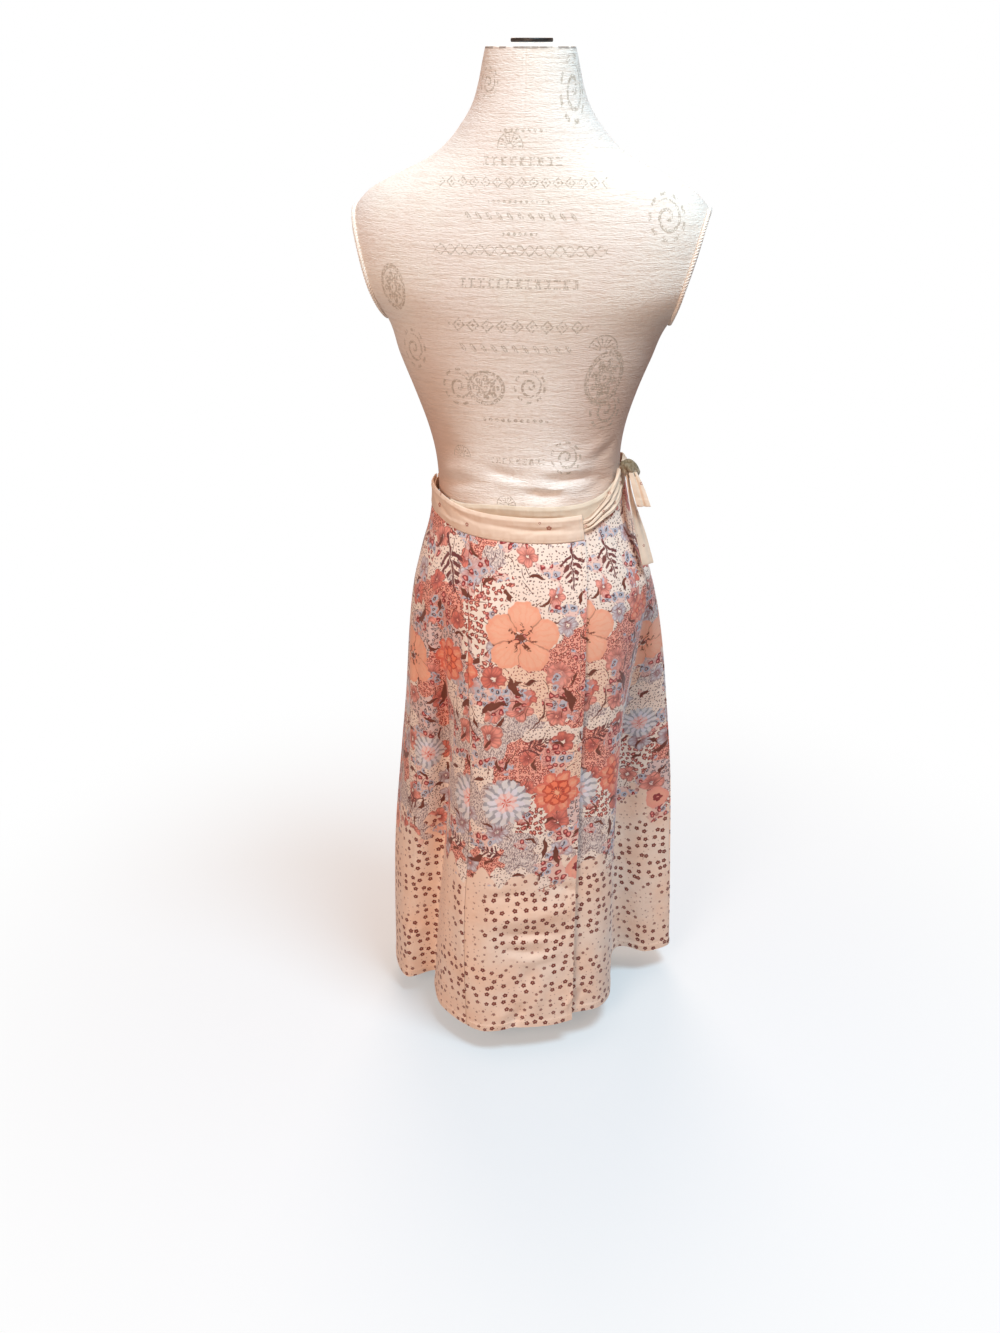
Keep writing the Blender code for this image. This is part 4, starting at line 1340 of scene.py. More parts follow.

# %% [markdown]
# ### The ties
#
# The pull of the knot crushes a tie into ridges.  Their phase wanders along the tie, so that
# they run together and apart.  The same phase marks the furrows between them as an attribute,
# which darkens the cotton there as painted shade.

# %% Ties
TIE_WIDTH, TIE_THICKNESS, TIE_CLEARANCE = 0.020, 0.0014, 0.0005
TIE_RIDGES, TIE_RIDGE_DEPTH, TIE_CRUSHED_WIDTH, TIE_CRUSHED_BY = 3, 0.0030, 0.0130, 0.10
TIE_OVER_EDGES = (
    # turn, lower edge, upper edge
    (36.0, 0.7065, 0.7215),
    (41.0, 0.7105, 0.7240),
    (50.0, 0.7175, 0.7370),
    (59.0, 0.7230, 0.7490),
    (65.0, 0.7290, 0.7580),
    (71.0, 0.7420, 0.7700),
)
KNOT_TURN, KNOT_HEIGHT, KNOT_TIP, KNOT_CLEAR = 76.0, 0.7675, 40.0, 0.0118
KNOT_DEPTH, KNOT_WIDTH, KNOT_TALL = 0.0130, 0.0115, 0.0090
ON_BAND = BAND_PROUD + TIE_CLEARANCE + TIE_THICKNESS
TIE_EDGES = (0.0, 0.0004, 0.0010, 0.0018)
TIE_OVER_LENGTH = 0.075
TIE_OVER_PRINT_AT, TAIL_PRINT_AT = 0.763, 0.3  # places on the ties' cotton
TAIL_WIDTH, TAIL_PITCH, TAIL_EDGES = 0.016, 0.0011, (0.0, 0.0004, 0.0009)


def tie_swing(across, up):
    """Where each ridge of the crushed tie lies, as an angle: a furrow at every half turn."""
    ridges = TIE_RIDGES * up + 0.16 * np.sin(5 * across)
    return np.pi * (ridges + 0.10 * np.sin(11 * across + 3 * up))


def mark_furrow_shade(piece, columns, rows, deep):
    """Stores on each vertex how deep in a furrow it lies, 0 to 1, for the painted shade in the
    cotton.
    """
    across, up = np.meshgrid(columns, rows)
    values = deep(across, up).ravel()
    mark = piece.data.attributes.new("furrow", "FLOAT", "POINT")
    mark.data.foreach_set("value", np.concatenate([values, values]).astype(np.float32))


def add_tie_over():
    start = WRAP_EDGE[-1] - 360 + gap_turn(WRAP_EDGE[-1], SEAM_GAP)
    end = KNOT_TURN - gap_turn(KNOT_TURN, KNOT_WIDTH * 0.6)
    turns, lower, upper = zip(*TIE_OVER_EDGES)

    def place(across, up, lift):
        turn = mix(start, end, across)
        crushed = smooth(across / TIE_CRUSHED_BY)
        low, high = through(turns, lower, turn), through(turns, upper, turn)
        ridge = TIE_RIDGE_DEPTH * crushed * np.abs(np.sin(tie_swing(across, up))) ** 0.7
        ridge = ridge + 0.0003 * crushed * np.sin(2 * np.pi * 7.3 * up + 9 * across)
        edge = np.minimum(up, 1 - up) * (high - low)
        out = ON_BAND + ridge + lift - 0.0006 * np.exp(-edge / 0.0008)
        return cloth_point(turn, mix(low, high, up), out)

    def deep(across, up):
        return np.exp(-((np.sin(tie_swing(across, up)) / 0.32) ** 2))

    columns, rows = even(TIE_OVER_LENGTH, 0.0012), even(BAND_WIDTH, 0.0007, TIE_EDGES)
    cotton = (TIE_COTTON,)
    made = add_wall("tie_over_end", columns, rows, place, TIE_THICKNESS, cotton, TIE_OVER_PRINT_AT)
    mark_furrow_shade(made[0], columns, rows, deep)
    return made


def add_tie_front():
    start = UNDER_EDGE[-1] + 360 - gap_turn(UNDER_EDGE[-1], SEAM_GAP)
    slot = LEFT_SEAM[-1]
    end = KNOT_TURN + gap_turn(KNOT_TURN, KNOT_WIDTH * 0.75)
    behind = BAND_PROUD - PLY_SPACE

    def place(across, up, lift):
        turn = mix(start, end, across)
        out = smooth((slot + HALF_SLOT - turn) / (2 * HALF_SLOT))
        along_band = seam_height(turn) + BAND_WIDTH / 2 + TIE_WIDTH * (up - 0.5)
        at_knot = KNOT_HEIGHT + TIE_CRUSHED_WIDTH * (up - 0.5)
        near = smooth(4 * across - 3)
        height = mix(along_band, at_knot, near)
        soft = 0.0005 * np.sin(2 * np.pi * (2.2 * up + 0.3 * np.sin(turn * 0.05))) * out
        soft = soft + 0.0011 * near * (0.5 - 0.5 * np.cos(4 * np.pi * up))
        edge = np.minimum(up, 1 - up) * TIE_WIDTH
        lifted = mix(behind, ON_BAND, out) + soft + lift - 0.0004 * np.exp(-edge / 0.0008)
        return cloth_point(turn, height, lifted)

    in_slot, half_slot = (start - slot) / (start - end), HALF_SLOT / (start - end)
    coarse = np.linspace(0, 1, 190)
    coarse = coarse[abs(coarse - in_slot) > 2.1 * half_slot]
    columns = np.sort(np.concatenate([coarse, in_slot + half_slot * np.linspace(-2, 2, 17)]))
    rows = even(TIE_WIDTH, 0.0018, TIE_EDGES)
    return add_wall("tie_front_end", columns, rows, place, TIE_THICKNESS, (TIE_COTTON,))


TAILS = (
    # piece, node, depth of its folds, folds, depth of the furrow,
    # and a line of x, y, height, width, facing
    (
        "tie_tail_long",
        "tail_long",
        0.0010,
        1.5,
        0.0,
        (
            (0.1160, -0.0290, 0.7640, 0.0080, 92.0),
            (0.1219, -0.0319, 0.7362, 0.0110, 75.0),
            (0.1284, -0.0341, 0.7137, 0.0140, 62.0),
            (0.1349, -0.0345, 0.6909, 0.0160, 50.0),
            (0.1436, -0.0357, 0.6579, 0.0170, 44.0),
        ),
    ),
    (
        "tie_tail_short",
        "tail_short",
        0.0004,
        1.0,
        0.0022,
        (
            (0.1225, -0.0355, 0.7670, 0.0100, 25.0),
            (0.1296, -0.0385, 0.7490, 0.0140, 15.0),
            (0.1364, -0.0405, 0.7290, 0.0160, 10.0),
        ),
    ),
)


def add_tail(name, depth, folds, furrow, table):
    """A free end: a ribbon along a middle line, creased lengthwise where it leaves the knot."""
    line = np.array(table)
    knots = np.linspace(0, 1, len(line))
    length = travelled(line[:, :3])[-1]

    def place(across, up, lift):
        x, y, height, width, facing = (through(knots, line[:, k], across) for k in range(5))
        side = np.radians(facing)
        zero = np.zeros_like(side)
        wide = np.stack([np.cos(side), np.sin(side), zero], axis=-1)
        out = np.stack([np.sin(side), -np.cos(side), zero], axis=-1)
        fade = 1 - 0.65 * smooth(across)
        crease = depth * fade * np.cos(2 * np.pi * folds * (up - 0.5))
        crease = crease - furrow * bump_shape(up - 0.62 + 0.1 * across, 0.10)
        edge = np.minimum(up, 1 - up) * width
        end = (1 - across) * length
        turned = 0.0003 * smooth((TURNED - end) / 0.0010 + 0.5)
        fall = 0.0004 * np.exp(-edge / 0.0007) + 0.0004 * np.exp(-end / 0.0007)
        sign = 1 if lift == 0 else -1
        middle = np.stack([x, y, height], axis=-1)
        aside, lifted = width * (up - 0.5), lift + crease + sign * (turned - fall)
        return middle + wide * aside[..., None] + out * lifted[..., None]

    columns = np.concatenate([np.linspace(0, 0.97, 60), [0.985, 0.993, 1.0]])
    rows = even(TAIL_WIDTH, TAIL_PITCH, TAIL_EDGES)
    return add_wall(name, columns, rows, place, TIE_THICKNESS, (TIE_COTTON,), TAIL_PRINT_AT)


# %% [markdown]
# ### The knot
#
# The knot is a flattened lump of wrapped cloth that tips down as it stands out from the hip.
# Its grooves run aslant where one turn lies beside the next, with finer creases between them,
# and the loop that the tails come from leaves a hollow on top.  Its cotton is painted browner
# than the band's as shade, and darker still in its creases and over its top as painted shade.

# %% Knot


def knot_material(centre):
    made, shader, start = new_material(
        "knot_cotton_painted_shade", 0.88, Sheen_Weight=0.15, Specular_IOR_Level=0.2
    )
    place = solid_map(start)
    height = place.less(tuple(centre)).third()
    creases = place.times((1.0, 1.0, 0.25)).solid_noise(420.0)
    # painted shade: the knot's cotton is browner than the band's, and darker in its creases
    colour = plain(place, rgb(186, 166, 144))
    colour = colour.paint(creases.under(0.48, 0.10) * 0.7, rgb(94, 72, 52))
    # painted shade over the top of the knot, above its middle
    colour = colour.paint((height + creases * 0.010).over(0.0045, 0.010) * 0.7, rgb(108, 94, 66))
    finish_material(shader, colour, creases, 0.0012)
    return made


def add_knot():
    centre = cloth_point(KNOT_TURN, KNOT_HEIGHT, BAND_PROUD + TIE_CLEARANCE + KNOT_CLEAR)
    side, tip = math.radians(KNOT_TURN), math.radians(KNOT_TIP)
    level = np.array([math.sin(side), -math.cos(side), 0.0])
    sideways = np.array([math.cos(side), math.sin(side), 0.0])
    upright = np.array([0.0, 0.0, 1.0])
    outward = level * math.cos(tip) - upright * math.sin(tip)
    upward = upright * math.cos(tip) + level * math.sin(tip)
    bm = bmesh.new()
    bmesh.ops.create_uvsphere(bm, u_segments=96, v_segments=64, radius=1.0)
    for vert in bm.verts:
        tall, deep, wide = vert.co
        slant = wide * 0.80 - tall * 0.60
        wraps = abs(math.sin(math.pi * (1.55 * slant + 0.20 * deep + 0.25)))
        groove = 1 - 0.26 * (1 - wraps**0.45) - 0.03 * math.cos(19 * slant + 3 * deep)
        groove -= 0.05 * math.sin(5 * tall + 4 * wide)
        from_hollow = (tall - 0.75) ** 2 + (wide - 0.25) ** 2 + (deep - 0.45) ** 2
        hollow = 0.50 * math.exp(-from_hollow / 0.12)
        point = centre + sideways * KNOT_WIDTH * wide * groove
        point = point + outward * KNOT_DEPTH * deep * (groove - hollow * 0.5)
        vert.co = point + upward * KNOT_TALL * tall * (groove - hollow)
    bmesh.ops.recalc_face_normals(bm, faces=bm.faces)
    return on_root(add_piece("tie_knot", bm, [knot_material(centre)]), "band_cotton", "knot")


knot = add_knot()
finish_sheet(add_tie_over(), "band_cotton", "tie_over")
finish_sheet(add_tie_front(), "band_cotton", "tie_front")
for name, node, depth, folds, furrow, table in TAILS:
    made = add_tail(name, depth, folds, furrow, table)
    finish_sheet(made, "band_cotton", node)
print("knot height above the floor:", KNOT_HEIGHT, "m")

# %% [markdown]
# ## Stitching
#
# A line of stitches holds the turned hem, the turned front edge of the wrap and both edges of
# the waistband.  Each stitch is one small stretched ball that sinks half its depth in the cloth.

# %% Stitches
STITCH_PITCH, STITCH_LENGTH, STITCH_RADIUS = 0.0031, 0.0023, 0.00024
AHEAD = 0.0008  # a short step along the line, which gives its direction
HEM_STITCH_AT = 0.90  # share of the turned depth
EDGE_STITCH_AT = 0.96  # share of the over piece's width
STITCH_PROUD, BAND_STITCH_SUNK = 0.0001, 0.00025


def thread_material():
    made, shader, start = new_material("sewing_thread", 0.6, Specular_IOR_Level=0.35)
    worn = solid_map(start).solid_noise(900.0).over(0.5, 0.2)
    finish_material(shader, plain(start, rgb(240, 214, 188)).paint(worn * 0.6, rgb(204, 160, 126)))
    return made


def add_stitches(name, lines, slot):
    bm = bmesh.new()
    count = 0
    for points in lines:
        wanted = np.arange(STITCH_PITCH / 2, travelled(points)[-1], STITCH_PITCH)
        for here, there in zip(along_line(points, wanted), along_line(points, wanted + AHEAD)):
            if np.linalg.norm(there - here) < 1e-6:
                continue
            turn = Vector(there - here).to_track_quat("X", "Z").to_matrix().to_4x4()
            size = Matrix.Diagonal((STITCH_LENGTH / 2, STITCH_RADIUS, STITCH_RADIUS, 1))
            place = Matrix.Translation(here) @ turn @ size
            bmesh.ops.create_icosphere(bm, subdivisions=1, radius=1.0, matrix=place)
            count += 1
    print(name, "stitches:", count)
    return on_root(add_piece(name, bm, [THREAD]), slot)


THREAD = thread_material()
hem_turns = np.linspace(UNDER_EDGE[0] + 0.5, WRAP_EDGE[0] - 0.5, 4000)
stitch_lift = TURN_LIFT + STITCH_PROUD
hem_line = cloth_point(hem_turns, hem_height(hem_turns) + TURNED * HEM_STITCH_AT, stitch_lift)
edge_rows = np.linspace(0.004, 0.995, 900)
seam_turns, wrap_turns = (through(SEAM_LEVELS, edge, edge_rows) for edge in (BACK_SEAM, WRAP_EDGE))
edge_turns = mix(seam_turns, wrap_turns, EDGE_STITCH_AT)
edge_heights = mix(hem_height(edge_turns), seam_height(edge_turns) - SEAM_GAP, edge_rows)
edge_line = cloth_point(edge_turns, edge_heights, stitch_lift)
add_stitches("hem_stitching", [hem_line, edge_line], "skirt_print")
band_lines = []
for *_, start, end in BANDS:
    turns = np.linspace(start + 1, end - 1, 900)
    for up in (BAND_STITCH_IN, BAND_WIDTH - BAND_STITCH_IN):
        heights = seam_height(turns) + up
        band_lines.append(cloth_point(turns, heights, BAND_PROUD - BAND_STITCH_SUNK))
add_stitches("band_stitching", band_lines, "band_cotton")

# %% [markdown]
# ## The dress form
#
# A firm body padded to a figure, under a tight cover of slubbed cotton.  The cover is sewn in
# panels, with flat ends at the shoulders.  Its surface is a grid round the body, like the
# panels, whose columns gather at the rim of each shoulder end so that the edge stays crisp.

# %% Sizes of the form
FORM_SECTIONS = (
    # height, half width, back, front, squareness
    (1.205, 0.047, 0.036, 0.060, 2.0),
    (1.190, 0.0505, 0.040, 0.060, 2.0),
    (1.170, 0.055, 0.045, 0.060, 2.0),
    (1.150, 0.062, 0.051, 0.060, 2.0),
    (1.130, 0.075, 0.057, 0.060, 2.0),
    (1.110, 0.093, 0.062, 0.061, 2.05),
    (1.095, 0.115, 0.066, 0.063, 2.1),
    (1.080, 0.148, 0.070, 0.066, 2.15),
    (1.065, 0.176, 0.074, 0.070, 2.3),
    (1.045, 0.193, 0.079, 0.076, 2.5),
    (1.015, 0.199, 0.085, 0.085, 2.6),
    (0.970, 0.193, 0.089, 0.099, 2.5),
    (0.930, 0.1575, 0.088, 0.111, 2.3),
    (0.890, 0.1422, 0.084, 0.113, 2.2),
    (0.850, 0.1267, 0.079, 0.100, 2.15),
    (0.810, 0.1138, 0.074, 0.088, 2.1),
    (0.775, 0.1075, 0.073, 0.083, 2.1),
    (0.740, 0.1075, 0.077, 0.084, 2.1),
    (0.700, 0.112, 0.085, 0.087, 2.1),
    (0.660, 0.123, 0.095, 0.093, 2.1),
    (0.630, 0.130, 0.101, 0.096, 2.1),
    (0.600, 0.130, 0.101, 0.095, 2.1),
    (0.570, 0.121, 0.095, 0.089, 2.1),
    (0.545, 0.108, 0.085, 0.080, 2.1),
    (0.530, 0.090, 0.072, 0.068, 2.1),
)
FORM_TOP, FORM_BOTTOM, NECK_BULGE = 1.205, 0.530, 0.004
PLATE_TOP_HEIGHT, PLATE_TOP_X, PLATE_LEAN, PLATE_BOTTOM = 1.048, 0.1905, 0.285, 0.850
PLATE_DOME, RIM_LOW, RIM_HIGH = 0.005, 0.930, 1.0475
FORM_METRES = 0.0018  # along the form's waist, for one degree of turn
FORM_SEAM_DEPTH, FORM_SEAM_DEGREES = 0.0006, 0.7  # at the centre back and the centre front
WAIST_CREASES = (
    # the cover gathers above the band and pulls towards the knot
    (16, 0.765, 58, 0.764, 0.0050, -0.0046),
    (8, 0.775, 44, 0.777, 0.0050, 0.0030),
    (2, 0.750, 26, 0.747, 0.0048, -0.0044),
    (4, 0.757, 34, 0.756, 0.0042, 0.0026),
    (-20, 0.774, 4, 0.765, 0.0052, -0.0034),
    (-16, 0.764, 6, 0.757, 0.0042, 0.0022),
    (-66, 0.749, -26, 0.758, 0.0050, -0.0036),
    (-62, 0.766, -30, 0.772, 0.0060, 0.0024),
    (40, 0.748, 66, 0.762, 0.0044, -0.0026),
    (48, 0.782, 70, 0.800, 0.0060, -0.0022),
    (36, 0.790, 58, 0.806, 0.0060, 0.0018),
    (-50, 0.790, -34, 0.800, 0.0070, -0.0014),
    (104, 0.764, 130, 0.756, 0.0050, -0.0034),
    (112, 0.780, 136, 0.770, 0.0050, 0.0024),
    (150, 0.762, 170, 0.758, 0.0050, -0.0030),
    (196, 0.760, 222, 0.764, 0.0050, -0.0034),
    (228, 0.775, 248, 0.784, 0.0050, 0.0024),
)


def plate_at(height):
    return PLATE_TOP_X - PLATE_LEAN * (PLATE_TOP_HEIGHT - height)


def rim_turn(height):
    """Degrees from the side at which the flat shoulder end begins, 0 where there is none."""
    half_width, _, _, square = section_at(FORM_SECTIONS, height)
    share = np.clip(plate_at(height) / half_width, 0, 1) ** (square / 2)
    inside = (height > PLATE_BOTTOM) & (height < PLATE_TOP_HEIGHT)
    return np.where(inside, 90 - np.degrees(np.arcsin(share)), 0.0)


def form_surface(turn, height):
    """Points of the form's cover, with its creases, its flat shoulder ends and their low domes."""
    turn, height = np.broadcast_arrays(np.asarray(turn, float), np.asarray(height, float))
    half_width, back, front, square = section_at(FORM_SECTIONS, height)
    x, y = oval(half_width, back, front, turn, square)
    plate = plate_at(height)
    inside = (height > PLATE_BOTTOM) & (height < PLATE_TOP_HEIGHT) & (abs(x) > plate)
    rim = np.maximum(rim_turn(height), 0.01)
    rim_y = abs(oval(half_width, back, front, 90 - rim, square)[1])
    upright = (height - (RIM_LOW + RIM_HIGH) / 2) / ((RIM_HIGH - RIM_LOW) / 2)
    dome = PLATE_DOME * np.clip(1 - (y / rim_y) ** 2, 0, 1) ** 0.7
    dome = dome * np.clip(1 - upright**2, 0, 1) ** 0.5
    x = np.where(inside, np.sign(x) * (plate + dome), x)
    out = crease_lift(turn, height, WAIST_CREASES, FORM_METRES)
    out = out - FORM_SEAM_DEPTH * bump_shape((turn + 90) % 180 - 90, FORM_SEAM_DEGREES)
    scale = 1 + np.where(inside, 0, out) / np.maximum(np.hypot(x, y), 0.02)
    return np.stack([x * scale + sway(height), y * scale, height], axis=-1)


print("rim of the shoulder end:", round(float(rim_turn(0.99)), 1), "degrees from the side")

# %% [markdown]
# ### The cover's print
#
# Faint grey-brown ornament is printed over the cream: friezes of lozenges, leaves, waves and
# bars across the back, with rosettes, fans and scrolls between them.  It is broken up, as ink
# that never quite took on the coarse weave.

# %% Ornament tables
FRIEZES = (
    # kind, height, how tall, half its length, pitch
    ("dots", 1.128, 0.0050, 0.024, 0.0062),
    ("bars", 1.099, 0.0085, 0.042, 0.0095),
    ("lozenges", 1.079, 0.0115, 0.088, 0.0125),
    ("dots", 1.061, 0.0045, 0.034, 0.0058),
    ("leaves", 1.047, 0.0090, 0.060, 0.0110),
    ("dots", 1.030, 0.0050, 0.018, 0.0060),
    ("wave", 1.014, 0.0130, 0.092, 0.0210),
    ("bars", 0.981, 0.0100, 0.062, 0.0100),
    ("lozenges", 0.937, 0.0150, 0.076, 0.0160),
    ("leaves", 0.913, 0.0100, 0.062, 0.0115),
    ("dots", 0.833, 0.0060, 0.036, 0.0070),
    ("bars", 0.786, 0.0065, 0.030, 0.0075),
)
DEVICES = (
    # kind, turn, height, size, tallness, lean
    ("scroll", -46, 1.172, 0.014, 1.1, 0),
    ("scroll", 58, 1.166, 0.018, 1.9, 0),
    ("fan", -8, 1.113, 0.015, 1.0, 0),
    ("rosette", -12, 0.869, 0.022, 0.9, 0),
    ("scroll", -26, 0.868, 0.020, 1.1, 12),
    ("scroll", 6, 0.872, 0.018, 1.1, -12),
    ("rosette", 42, 0.880, 0.022, 1.5, -18),
    ("scroll", 50, 0.842, 0.020, 1.2, -18),
    ("fan", 36, 0.912, 0.018, 1.0, -18),
    ("scroll", 47, 1.046, 0.021, 1.2, 20),
    ("rosette", -41, 0.972, 0.015, 1.7, 8),
    ("scroll", 28, 0.790, 0.018, 1.1, 0),
    ("fan", -36, 0.787, 0.013, 1.0, 0),
    ("fan", -8, 0.736, 0.012, 1.0, 0),
    ("scroll", -50, 0.905, 0.018, 1.3, 10),
)
FORM_CREAM = rgb(240, 231, 219)
INK_GREY = rgb(176, 160, 140)


def arc_from_centre(turn, height):
    """Metres along the cover, level, from the centre back to a turn."""
    length = float(travelled(form_surface(np.linspace(0, turn, 60), height))[-1])
    return length if turn >= 0 else -length


def frieze_mask(flat, kind, height, tall, half, pitch):
    across, up = flat.split()
    x, y = across.wrap(-pitch / 2, pitch / 2), up - height
    away = abs(y)
    if kind == "dots":
        mark = (x * x + y * y).under((tall * 0.36) ** 2, (tall * 0.25) ** 2)
    elif kind == "bars":
        cell = (across / pitch).maths("FLOOR", across / pitch)
        random = cell.node("TexWhiteNoise", {"noise_dimensions": "1D"}, {"W": cell})
        foot = abs(x - (random - 0.5) * pitch * 0.4).under(pitch * 0.13, pitch * 0.08)
        mark = foot * away.under(tall * 0.42, tall * 0.1)
        serif = abs(away - tall * 0.40).under(tall * 0.09, tall * 0.06)
        mark = mark.most(serif * abs(x).under(pitch * 0.36, pitch * 0.05))
    elif kind == "lozenges":
        field = abs(x) / (pitch * 0.47) + away / (tall * 0.5)
        mark = abs(field - 0.82).under(0.16, 0.12).most(field.under(0.28, 0.15))
    elif kind == "leaves":
        bent = abs(x + y * 0.7)
        field = bent / (pitch * 0.24) + away * away / (tall * tall * 0.25)
        mark = field.under(1.0, 0.3) * bent.over(pitch * 0.03, pitch * 0.03)
    else:
        swing = (across * (2 * math.pi / pitch)).cos() * (tall * 0.36)
        mark = abs(y - swing).under(tall * 0.09, tall * 0.06)
        mark = mark.most(abs(y + swing).under(tall * 0.05, tall * 0.05))
    return mark * abs(across).under(half, 0.002) * away.under(tall * 0.55, 0.0005)


def device_mask(flat, kind, turn, height, size, tallness, lean):
    spot = {"Vector": flat, "Location": (arc_from_centre(turn, height), height, 0)}
    spot |= {"Rotation": (0, 0, math.radians(lean)), "Scale": (size, size * tallness, 1)}
    local = flat.node("Mapping", {"vector_type": "TEXTURE"}, spot)
    radius, angle = polar(local)
    inside = radius.under(1.0, 0.04)
    if kind == "rosette":
        star = (radius - abs((angle * 4).cos()) * 0.30).under(0.42, 0.08)
        star = star * radius.over(0.20, 0.06)
        hoops = abs(radius - 0.92).under(0.06, 0.05).most(abs(radius - 0.80).under(0.03, 0.04))
        beads = abs(radius - 0.86).under(0.05, 0.04) * (angle * 24).cos().over(0.2, 0.4)
        return star.most(hoops).most(beads).most(radius.under(0.10, 0.05))
    if kind == "fan":
        upwards = local.split()[1]
        ribs = (angle * 15).cos().over(0.35, 0.4)
        ribs = ribs * radius.over(0.30, 0.05) * radius.under(0.78, 0.05)
        arcs = abs(radius - 0.88).under(0.05, 0.04).most(abs(radius - 0.22).under(0.06, 0.05))
        return ribs.most(arcs) * upwards.over(-0.12, 0.04) * inside
    turns = radius * 2.3 - angle / (2 * math.pi)
    line = abs(turns.maths("FRACT", turns) - 0.5).under(0.17, 0.08)
    leaves = abs(radius - 0.90).under(0.07, 0.05) * (angle * 9).cos().over(-0.1, 0.5)
    return (line * radius.under(0.72, 0.04)).most(leaves) * inside


def cover_material():
    made, shader, start = new_material(
        "form_cover_cotton", 0.9, Sheen_Weight=0.2, Specular_IOR_Level=0.2
    )
    flat = flat_map(start)
    mark = None
    for row in FRIEZES:
        found = frieze_mask(flat, *row)
        mark = found if mark is None else mark.most(found)
    for row in DEVICES:
        mark = mark.most(device_mask(flat, *row))
    slub = flat.times((0.22, 1.0, 1.0)).noise(900, 2, 0.6)
    coarse = flat.times((0.12, 1.0, 1.0)).noise(260, 3, 0.6)
    broken = flat.noise(420, 2).over(0.47, 0.12) * 0.60 + flat.noise(60, 2).over(0.5, 0.3) * 0.18
    up = flat.split()[1]
    colour = plain(flat, FORM_CREAM)
    colour = colour.paint(flat.noise(9, 2).over(0.5, 0.3) * 0.6, rgb(240, 226, 216))
    # painted shade: a little darker and warmer towards the waist
    colour = colour.paint(up.under(0.90, 0.35) * 0.15, rgb(236, 216, 202))
    # painted light down the middle of the waist, and painted shade at both its sides
    beside = abs(flat.split()[0] + flat.noise(16, 2) * 0.05 - 0.025).over(0.075, 0.09)
    waist_side_shade = beside * up.under(0.88, 0.16) * up.over(0.68, 0.05)
    colour = colour.paint((1 - beside) * up.under(0.90, 0.12) * 0.8, rgb(255, 247, 238))
    colour = colour.paint(waist_side_shade * 0.66, rgb(202, 152, 120))
    solid = solid_map(start)
    sideways, level = solid.split()[0], solid.third()
    end_from = PLATE_TOP_X - PLATE_LEAN * PLATE_TOP_HEIGHT - 0.0012
    shoulder_end_shade = (abs(sideways) - level * PLATE_LEAN).over(end_from, 0.001)
    shoulder_end_shade = shoulder_end_shade * level.over(RIM_LOW + 0.001, 0.001) * level.under(PLATE_TOP_HEIGHT, 0.001)
    # painted shade on the flat shoulder ends
    colour = colour.paint(shoulder_end_shade * 0.9, rgb(200, 176, 160))
    neck_rim = level.over(FORM_TOP - 0.0016, 0.0006) * level.under(FORM_TOP + 0.0006, 0.0006)
    colour = colour.paint(neck_rim * solid.noise(90, 2).over(0.40, 0.12) * 0.7, rgb(112, 96, 88))
    colour = colour.paint(slub.under(0.42, 0.16) * 0.30, rgb(216, 192, 170))
    colour = colour.paint(coarse.under(0.42, 0.12) * 0.20, rgb(210, 182, 158))
    colour = colour.paint((mark * broken).least(0.75), INK_GREY)
    relief = coarse * 0.45 + slub * 0.4
    finish_material(shader, colour, relief, 0.0019, flat.noise(50, 2) * 0.1 + 0.82)
    return made


print("friezes:", len(FRIEZES), " devices:", len(DEVICES))

# %% [markdown]
# ### The form's mesh
#
# A grid is wrapped round the body and closed at the neck and underneath by rings that shrink to
# a point.  The UV map of the back is measured from the centre back and that of the front from
# the centre front, so that the print sits straight on both.

# %% Form body
FORM_PITCH = 0.0042
SIDE_COLUMNS, END_COLUMNS = 62, 18
END_MINIMUM = 5.0
CAP_RINGS = (1.0, 0.985, 0.95, 0.88, 0.76, 0.6, 0.4, 0.2, 0.0)


def form_turns(height):
    """Turns of one row: even over the back and the front, with some kept for each shoulder end."""
    half = max(float(rim_turn(height)), END_MINIMUM)
    back = np.linspace(0, 90 - half, SIDE_COLUMNS + 1)
    end = np.linspace(90 - half, 90 + half, END_COLUMNS + 1)[1:]
    front = np.linspace(90 + half, 180, SIDE_COLUMNS + 1)[1:]
    right = np.concatenate([back, end, front])
    return np.concatenate([-right[::-1], right[1:]])


def form_rows():
    """Rows of the cover from below to above: each a height and a share of the way out."""
    sides = np.linspace(FORM_BOTTOM, FORM_TOP, int((FORM_TOP - FORM_BOTTOM) / FORM_PITCH))
    ledge = [PLATE_TOP_HEIGHT - 0.0001, PLATE_TOP_HEIGHT + 0.0001]
    heights = np.sort(np.concatenate([sides[abs(sides - PLATE_TOP_HEIGHT) > 0.001], ledge]))
    below = [(FORM_BOTTOM, inward, 0.0) for inward in CAP_RINGS[:0:-1]]
    above = [(FORM_TOP, inward, NECK_BULGE * (1 - inward**4)) for inward in CAP_RINGS[1:]]
    return below + [(height, 1.0, 0.0) for height in heights] + above


